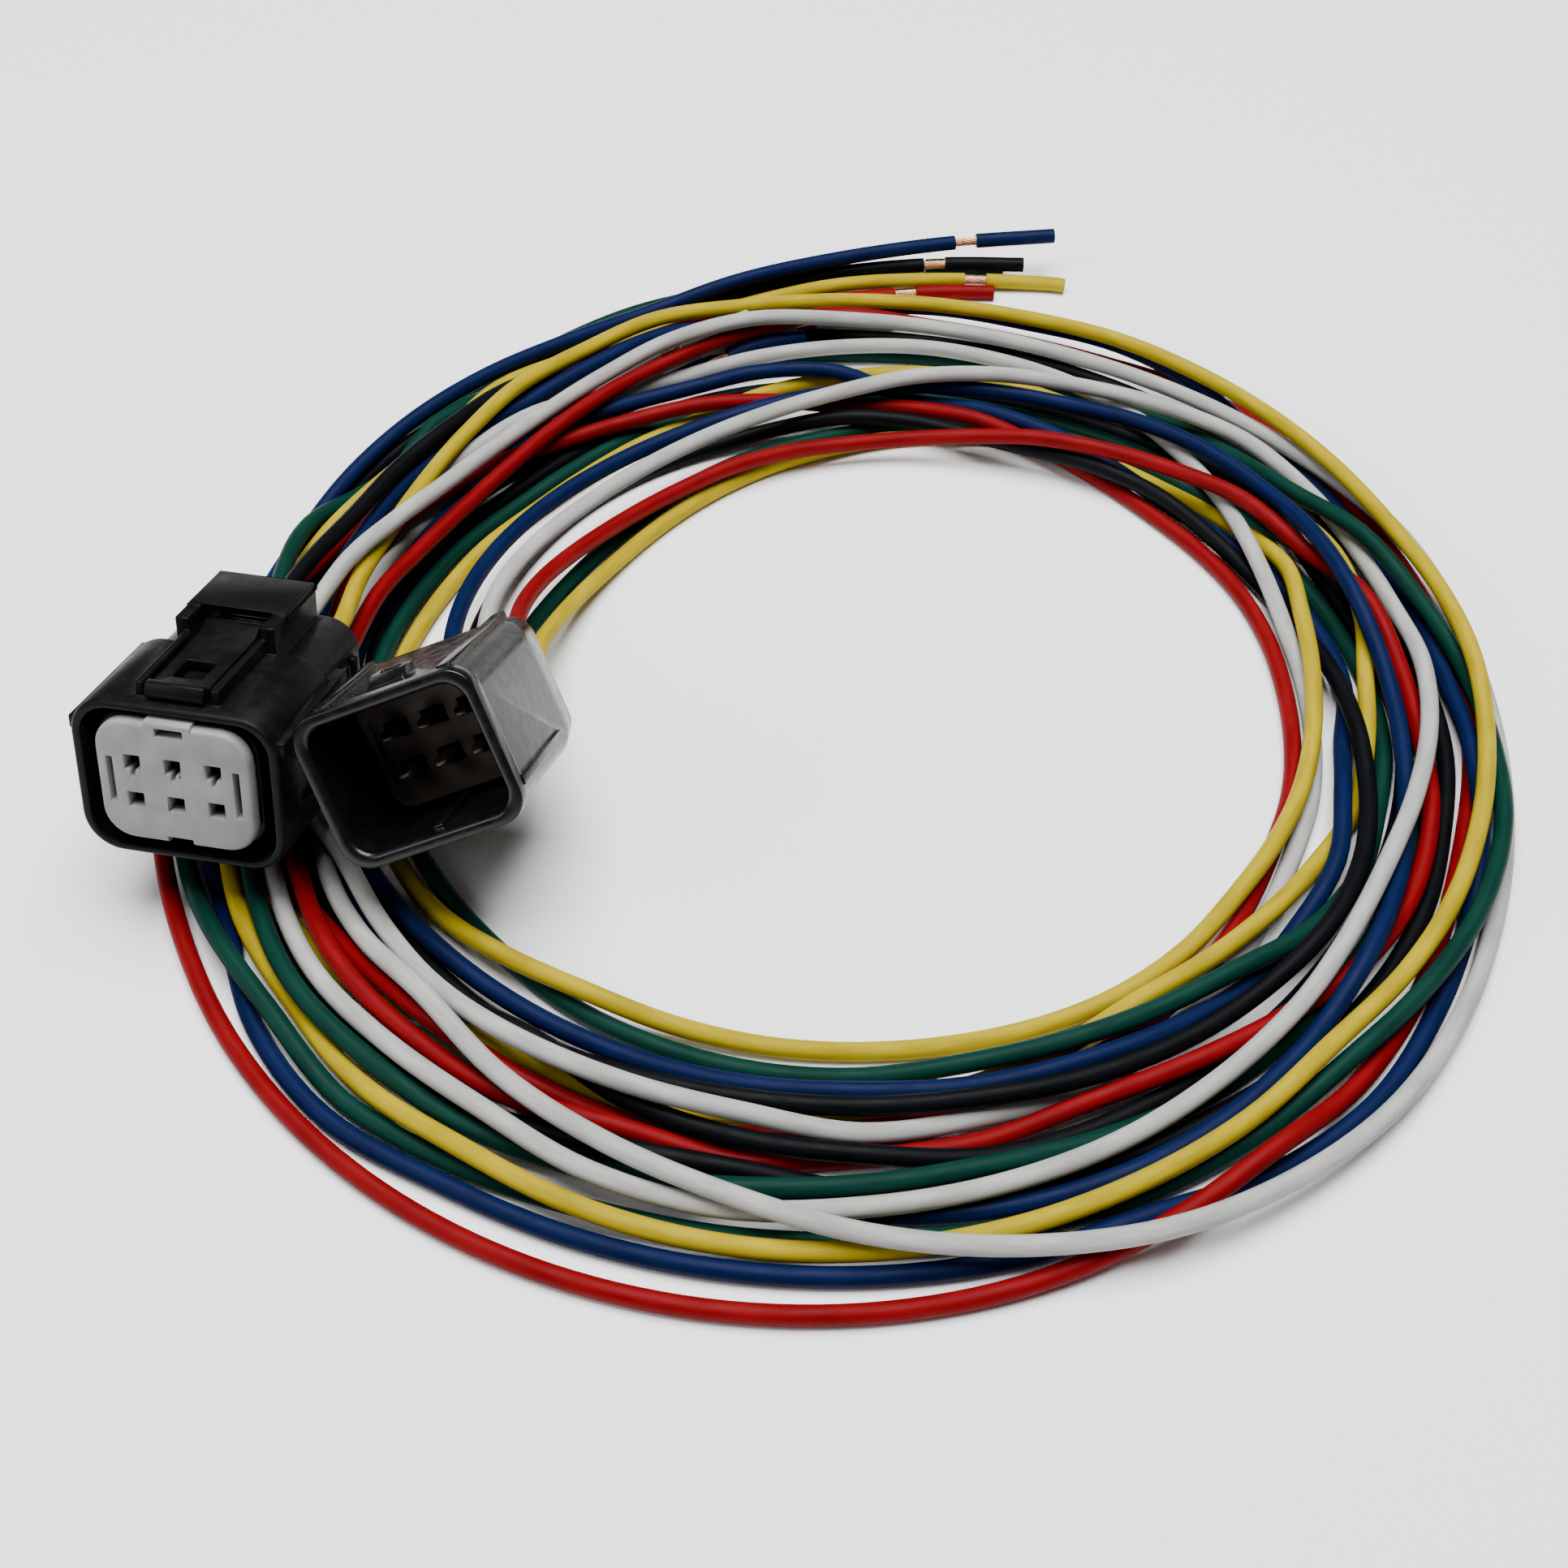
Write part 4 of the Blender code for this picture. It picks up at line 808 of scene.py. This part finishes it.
def rear_end(side, pocket_floor, length):
    """Ribbed wire seal, and the cap whose holes the wires leave by."""
    width, height, radius = SEAL_PAD
    world, cap_y = PLACES[side], length - CAP_THICK
    front, back = pocket_floor + GAP, cap_y - GAP
    rings, count = [], SEAL_RIBS * RING_STEPS
    for i in range(count + 1):
        y = front + (back - front) * i / count
        slim = RIB_HEIGHT * (1 - math.cos(2 * math.pi * i / RING_STEPS)) / 2
        rings.append((width - slim, height - slim, radius, y, 0, 0))
    seal = moulded(loft(rings), cuts=[pegs(cavities(), WIRE_HOLE / 2, front - 1, back + 1)])
    add_piece(f"{side}_wire_seal", seal, "seal", "root", f"{side}_rear_wire_seal", world)
    cap = moulded(loft([(width, height, radius, cap_y, 0, 0), (width, height, radius, length, 0, 0)]),
                  cuts=[pegs(cavities(), WIRE_HOLE / 2, cap_y - 1, length + 0.01),
                        pegs(cavities(), 1.0, length - 0.35, length + 0.3, WIRE_HOLE / 2 + 0.5)], edge=0.1)
    add_piece(f"{side}_cap", cap, "black_plastic", "root", f"{side}_rear_cap", world)


# ---- female connector ------------------------------------
HOOD = (17.9, 14.2, 3.3)       # width, height and corner radius, as for the next two
PLUG = (13.8, 10.9, 2.2)
PLATE = (13.3, 11.0, 2.6)
HOOD_DROP = -0.3               # the hood's middle against the cavities' middle
GROOVE = 9.2                   # depth of the groove between hood and plug
PLATE_FRONT, PLATE_BACK = -0.6, 0.6
LATCH_HEIGHT = 7.5             # the lever's middle above the cavities' middle
TERMINAL_FRONT = 2.6           # where the socket terminals start
SEAL_FRONT = 5.0               # where the interface seal starts
LIP_HEIGHT = 0.35


def female_housing():
    """Hood, plug and body, with the latch's guard and posts, side rails, ribs and grips."""
    hood_w, hood_h, hood_r = HOOD
    plug_w, plug_h, plug_r = PLUG
    wall_w, wall_h, wall_r = hood_w - 1.7, hood_h - 1.3, hood_r - 0.6
    rear = (hood_w - 2.4, hood_h - 1.6, hood_r - 0.6)
    drop = HOOD_DROP
    base = loft([
        (plug_w, plug_h, plug_r, 0.9, 0, 0),
        (plug_w, plug_h, plug_r, GROOVE, 0, 0),
        (wall_w, wall_h, wall_r, GROOVE, 0, drop),
        (wall_w, wall_h, wall_r, 0.0, 0, drop),
        (hood_w - 0.4, hood_h - 0.4, hood_r - 0.2, 0.0, 0, drop),
        (hood_w, hood_h, hood_r, 0.3, 0, drop),
        (hood_w, hood_h, hood_r, 11.4, 0, drop),
        (*rear, 12.2, 0, drop),
        (*rear, FEMALE_LENGTH, 0, drop),
        (*POCKET, FEMALE_LENGTH, 0, 0),
        (*POCKET, FEMALE_POCKET_FLOOR, 0, 0)], segments=8)
    top = hood_h / 2 + drop
    side = rear[0] / 2
    rails = boxes(*mirrored(((8.0, 9.3), (0.6, 14.0), (3.5, 4.7))))
    ribs = boxes(*mirrored(((2.9, 3.6), (1.6, 11.0), (top - 0.8, top + 1.3))))
    posts = boxes(*mirrored(((3.2, 4.4), (11.0, 20.0), (top - 1.6, 9.2))))
    bridge = boxes(((-4.4, 4.4), (13.6, 20.0), (8.75, 9.35)))
    grips = [boxes(*mirrored(((side - 0.4, side + 0.45), (y, y + 0.8), (-4.2, 3.2))))
             for y in (14.8, 16.6, 18.4)]
    cuts = [squares(cavities(), CAVITY, -1.0, 16.0),
            boxes(*mirrored(((5.5, 6.6), (0.0, 5.2), (-2.9, 2.9)))),
            boxes(*mirrored(((hood_w / 2 - 0.35, hood_w / 2 + 1), (4.0, 8.4), (-2.6, 1.4))))]
    mesh = moulded(base, [rails, ribs, posts, bridge, *grips], cuts, edge=0.14)
    add_piece("female_shell", mesh, "black_plastic", "root",
              "female_housing", PLACES["female"])


def female_plate():
    """Light grey secondary lock: a crowned face plate with six funnel holes and its two legs."""
    width, height, radius = PLATE
    front, back = PLATE_FRONT, PLATE_BACK
    base = loft([
        (width - 0.7, height - 0.7, radius - 0.25, front, 0, 0),
        (width - 0.25, height - 0.25, radius - 0.1, front + 0.1, 0, 0),
        (width, height, radius, front + 0.35, 0, 0),
        (width, height, radius, back, 0, 0)], segments=8)
    legs = boxes(*mirrored(((5.8, 6.3), (back - 0.3, 4.6), (-2.2, 2.2))))
    tab = prism([(front, height / 2 - 1.0), (front, height / 2 + 0.15), (front + 0.3, height / 2 + 0.35),
                 (back, height / 2 + 0.35), (back, height / 2 - 1.0)], -2.1, 1.9)
    slots = boxes(*mirrored(((5.2, 5.75), (-2.0, 2.0), (-2.1, 2.1))))
    notches = boxes(((-1.2, 1.2), (-2.0, 2.0), (height / 2 - 1.0, height / 2 - 0.25)),
                    ((-1.1, 1.1), (-2.0, 2.0), (-height / 2 - 1.0, -height / 2 + 0.6)))
    small = boxes(*[((x - 0.2, x + 0.2), (-2.0, 2.0), (z - 1.25, z - 0.4)) for x, z in cavities() if z > 0])
    holes = squares(cavities(), 1.3, -2.0, 2.0)
    mouths = funnels(cavities(), 1.7, 1.1, front - 0.15, front + 0.3)
    mesh = moulded(base, [legs, tab], [holes, mouths, slots, notches, small], edge=0.07)
    add_piece("female_lock_plate", mesh, "grey_plastic", "female_lock",
              "female_secondary_lock", PLACES["female"])


def female_seal():
    """Perimeter seal round the plug, with two lips."""
    plug_w, plug_h, plug_r = PLUG
    front, back, count = SEAL_FRONT, GROOVE - GAP, 12
    rings = []
    for i in range(count + 1):
        y = front + (back - front) * i / count
        lip = LIP_HEIGHT * (1 - math.cos(4 * math.pi * i / count)) / 2
        rings.append((plug_w + 1.45 + lip, plug_h + 0.85 + lip, plug_r + 0.5, y, 0, -0.05))
    core = loft([(plug_w + 0.4, plug_h + 0.4, plug_r + 0.2, y, 0, 0) for y in (front - 1, back + 1)])
    add_piece("female_lip_seal", moulded(loft(rings), cuts=[core]), "seal", "root",
              "female_interface_seal", PLACES["female"])


def female_latch():
    """Latch lever with a grooved thumb pad, a nose and the window that a male's ramp snaps into."""
    mid = LATCH_HEIGHT
    lever = prism([(1.0, mid - 0.45), (16.5, mid - 0.45), (16.5, mid + 0.2), (13.6, mid + 0.2),
                   (13.2, mid + 0.9), (12.4, mid + 0.9), (11.4, mid + 0.35), (2.2, mid + 0.35),
                   (2.0, mid + 0.8), (1.4, mid + 0.8), (1.0, mid + 0.1)], -2.5, 2.5)
    window = boxes(((-1.3, 1.3), (3.6, 6.6), (mid - 3, mid + 3)))
    lines = boxes(*[((-3, 3), (y, y + 0.25), (mid + 0.02, mid + 3)) for y in (14.2, 14.9, 15.6)])
    mesh = moulded(lever, cuts=[window, lines], edge=0.1)
    add_piece("female_lever", mesh, "black_plastic", "female_latch",
              "female_latch_lever", PLACES["female"])


def female_terminals():
    """Socket terminals: a box open at its front, a seam along it, and the crimp behind."""
    for number, (x, z) in enumerate(cavities(), start=1):
        solid = loft([
            (2.0, 2.0, 0.3, TERMINAL_FRONT, x, z), (2.0, 2.0, 0.3, 9.4, x, z),
            (1.3, 1.3, 0.3, 9.9, x, z), (1.3, 1.3, 0.3, 11.2, x, z), (1.9, 1.9, 0.7, 11.6, x, z),
            (1.9, 1.9, 0.7, FEMALE_LENGTH - FEMALE_CRIMP - GAP, x, z)], segments=3)
        opening_and_seam = boxes(((x - 0.8, x + 0.8), (2.0, 8.8), (z - 0.35, z + 0.75)),
                                 ((x - 0.06, x + 0.06), (2.0, 9.2), (z - 1.4, z - 0.5)))
        mesh = moulded(solid, cuts=[opening_and_seam], edge=0.06)
        add_piece(f"female_contact_{number}", mesh, "tin", "root",
                  f"female_terminal_{number}", PLACES["female"])


# ---- male connector --------------------------------------
SHROUD = (16.0, 13.0, 2.4)
SHROUD_WALL = 0.85
SHROUD_INSIDE = (SHROUD[0] - 2 * SHROUD_WALL, SHROUD[1] - 2 * SHROUD_WALL)
SHROUD_DEPTH = 10.8
LOCK_THICK = 1.2
BLADE = (1.5, 0.8)             # width and thickness
BLADE_TIP = 6.3


def male_housing():
    """Open shroud and body, with the lock ramp, outer ridges and an inner key."""
    width, height, radius = SHROUD
    inner_w, inner_h = SHROUD_INSIDE
    base = loft([
        (inner_w, inner_h, radius - 0.5, SHROUD_DEPTH, 0, 0),
        (inner_w, inner_h, radius - 0.5, 0.3, 0, 0),
        (inner_w + 0.6, inner_h + 0.6, radius - 0.3, 0.0, 0, 0),
        (width + 0.5, height + 0.5, radius, 0.0, 0, 0),
        (width + 0.5, height + 0.5, radius, 1.6, 0, 0),
        *[(width - 0.1, height - 0.1, radius, y, 0, 0) for y in (1.9, 2.2, 15.2, 15.5)],
        (width - 1.2, height - 1.2, radius - 0.4, MALE_LENGTH, 0, 0),
        (*POCKET, MALE_LENGTH, 0, 0),
        (*POCKET, MALE_POCKET_FLOOR, 0, 0)], segments=8)
    top = height / 2 - 0.05
    lock_ramp = prism([(3.2, top - 0.5), (3.2, top + 0.25), (4.4, top + 0.9), (6.2, top + 0.9),
                       (6.2, top - 0.5)], -1.7, 1.7)
    ridges = boxes(((5.4, 6.7), (1.2, 16.5), (top - 0.8, top + 0.45)),
                   ((-6.5, -5.7), (1.2, 15.5), (top - 0.8, top + 0.4)))
    sides = boxes(*mirrored(((width / 2 - 0.5, width / 2 + 0.4), (1.2, 13.0), (-4.4, -3.6))))
    key = boxes(((-0.4, 0.4), (1.0, SHROUD_DEPTH + 0.2), (-inner_h / 2 - 0.2, -inner_h / 2 + 0.45)))
    dish = boxes(((-0.9, 0.9), (4.6, 5.8), (top + 0.55, top + 2)))
    cuts = [squares(cavities(), CAVITY, 10.0, 15.5), dish]
    mesh = moulded(base, [lock_ramp, ridges, sides, key], cuts, edge=0.14)
    add_piece("male_shell", mesh, "gloss_black", "root", "male_housing", PLACES["male"])


def male_plate():
    """Lock plate at the bottom of the shroud, which the blades pass through; tan, darkened to a dark brown
    to paint the shade inside the shroud.
    """
    inner_w, inner_h = SHROUD_INSIDE
    front, back = SHROUD_DEPTH - GAP - LOCK_THICK, SHROUD_DEPTH - GAP
    base = loft([(inner_w - 1.3, inner_h - 1.3, 1.5, front, 0, 0),
                 (inner_w - 1.0, inner_h - 1.0, 1.6, front + 0.2, 0, 0),
                 (inner_w - 1.0, inner_h - 1.0, 1.6, back, 0, 0)])
    slots = boxes(*[((x - 1.1, x + 1.1), (7.0, 12.0), (z - 0.75, z + 0.75)) for x, z in cavities()])
    web = boxes(*mirrored(((5.4, 5.8), (7.0, front + 0.5), (-3.0, 3.0))))
    mesh = moulded(base, cuts=[slots, web], edge=0.08)
    add_piece("male_lock_plate", mesh, "tan_plastic_painted_shade", "male_lock",
              "male_secondary_lock", PLACES["male"])


def male_terminals():
    """Blades with tapered tips, and the crimp barrel behind them."""
    blade_w, blade_h = BLADE
    for number, (x, z) in enumerate(cavities(), start=1):
        mesh = moulded(loft([
            (blade_w - 0.9, blade_h - 0.6, 0.08, BLADE_TIP, x, z),
            (blade_w - 0.35, blade_h - 0.3, 0.12, BLADE_TIP + 0.35, x, z),
            (blade_w, blade_h, 0.15, BLADE_TIP + 0.9, x, z),
            (blade_w, blade_h, 0.15, 11.2, x, z), (1.9, 1.9, 0.5, 11.4, x, z),
            (1.9, 1.9, 0.5, MALE_LENGTH - MALE_CRIMP - GAP, x, z)], segments=4))
        # the blades' tin is darkened to paint the shade inside the shroud
        add_piece(f"male_blade_{number}", mesh, "shade_darkened_tin", "root",
                  f"male_terminal_{number}", PLACES["male"])


# ---- stage and lights ------------------------------------
FLOOR_HALF = 1.5               # metres
LIGHT_AIM = Vector((0, 0, 0.01))


def make_floor():
    """A plain white floor under the object."""
    made, _, shader = new_material("floor")
    shader.inputs["Base Color"].default_value = (0.95, 0.95, 0.95, 1)
    shader.inputs["Roughness"].default_value = 0.9
    shape = bmesh.new()
    bmesh.ops.create_grid(shape, x_segments=1, y_segments=1, size=FLOOR_HALF)
    mesh = as_mesh(shape)
    mesh.materials.append(made)
    floor = bpy.data.objects.new("floor", mesh)
    bpy.context.scene.collection.objects.link(floor)


def area_light(name, at, size, power):
    """A rectangular light at a place in metres, turned towards the object."""
    light = bpy.data.lights.new(name, "AREA")
    light.shape = "RECTANGLE"
    light.size, light.size_y = size
    light.energy = power
    holder = bpy.data.objects.new(name, light)
    bpy.context.scene.collection.objects.link(holder)
    holder.location = at
    holder.rotation_euler = (LIGHT_AIM - Vector(at)).to_track_quat("-Z", "Y").to_euler()


def make_lights():
    """A large soft light overhead, a weak one at the left and a dim white world."""
    area_light("overhead", (0.0, 0.05, 0.75), (0.6, 0.6), 16.0)
    area_light("left", (-0.6, -0.25, 0.45), (0.4, 0.4), 2.0)
    world = bpy.data.worlds.new("world")
    world.use_nodes = True
    world.node_tree.nodes["Background"].inputs["Color"].default_value = (1, 1, 1, 1)
    world.node_tree.nodes["Background"].inputs["Strength"].default_value = 0.08
    bpy.context.scene.world = world


def main():
    make_camera()
    make_wires()
    female_housing()
    female_plate()
    female_seal()
    female_latch()
    female_terminals()
    rear_end("female", FEMALE_POCKET_FLOOR, FEMALE_LENGTH)
    male_housing()
    male_plate()
    male_terminals()
    rear_end("male", MALE_POCKET_FLOOR, MALE_LENGTH)
    make_floor()
    make_lights()


main()
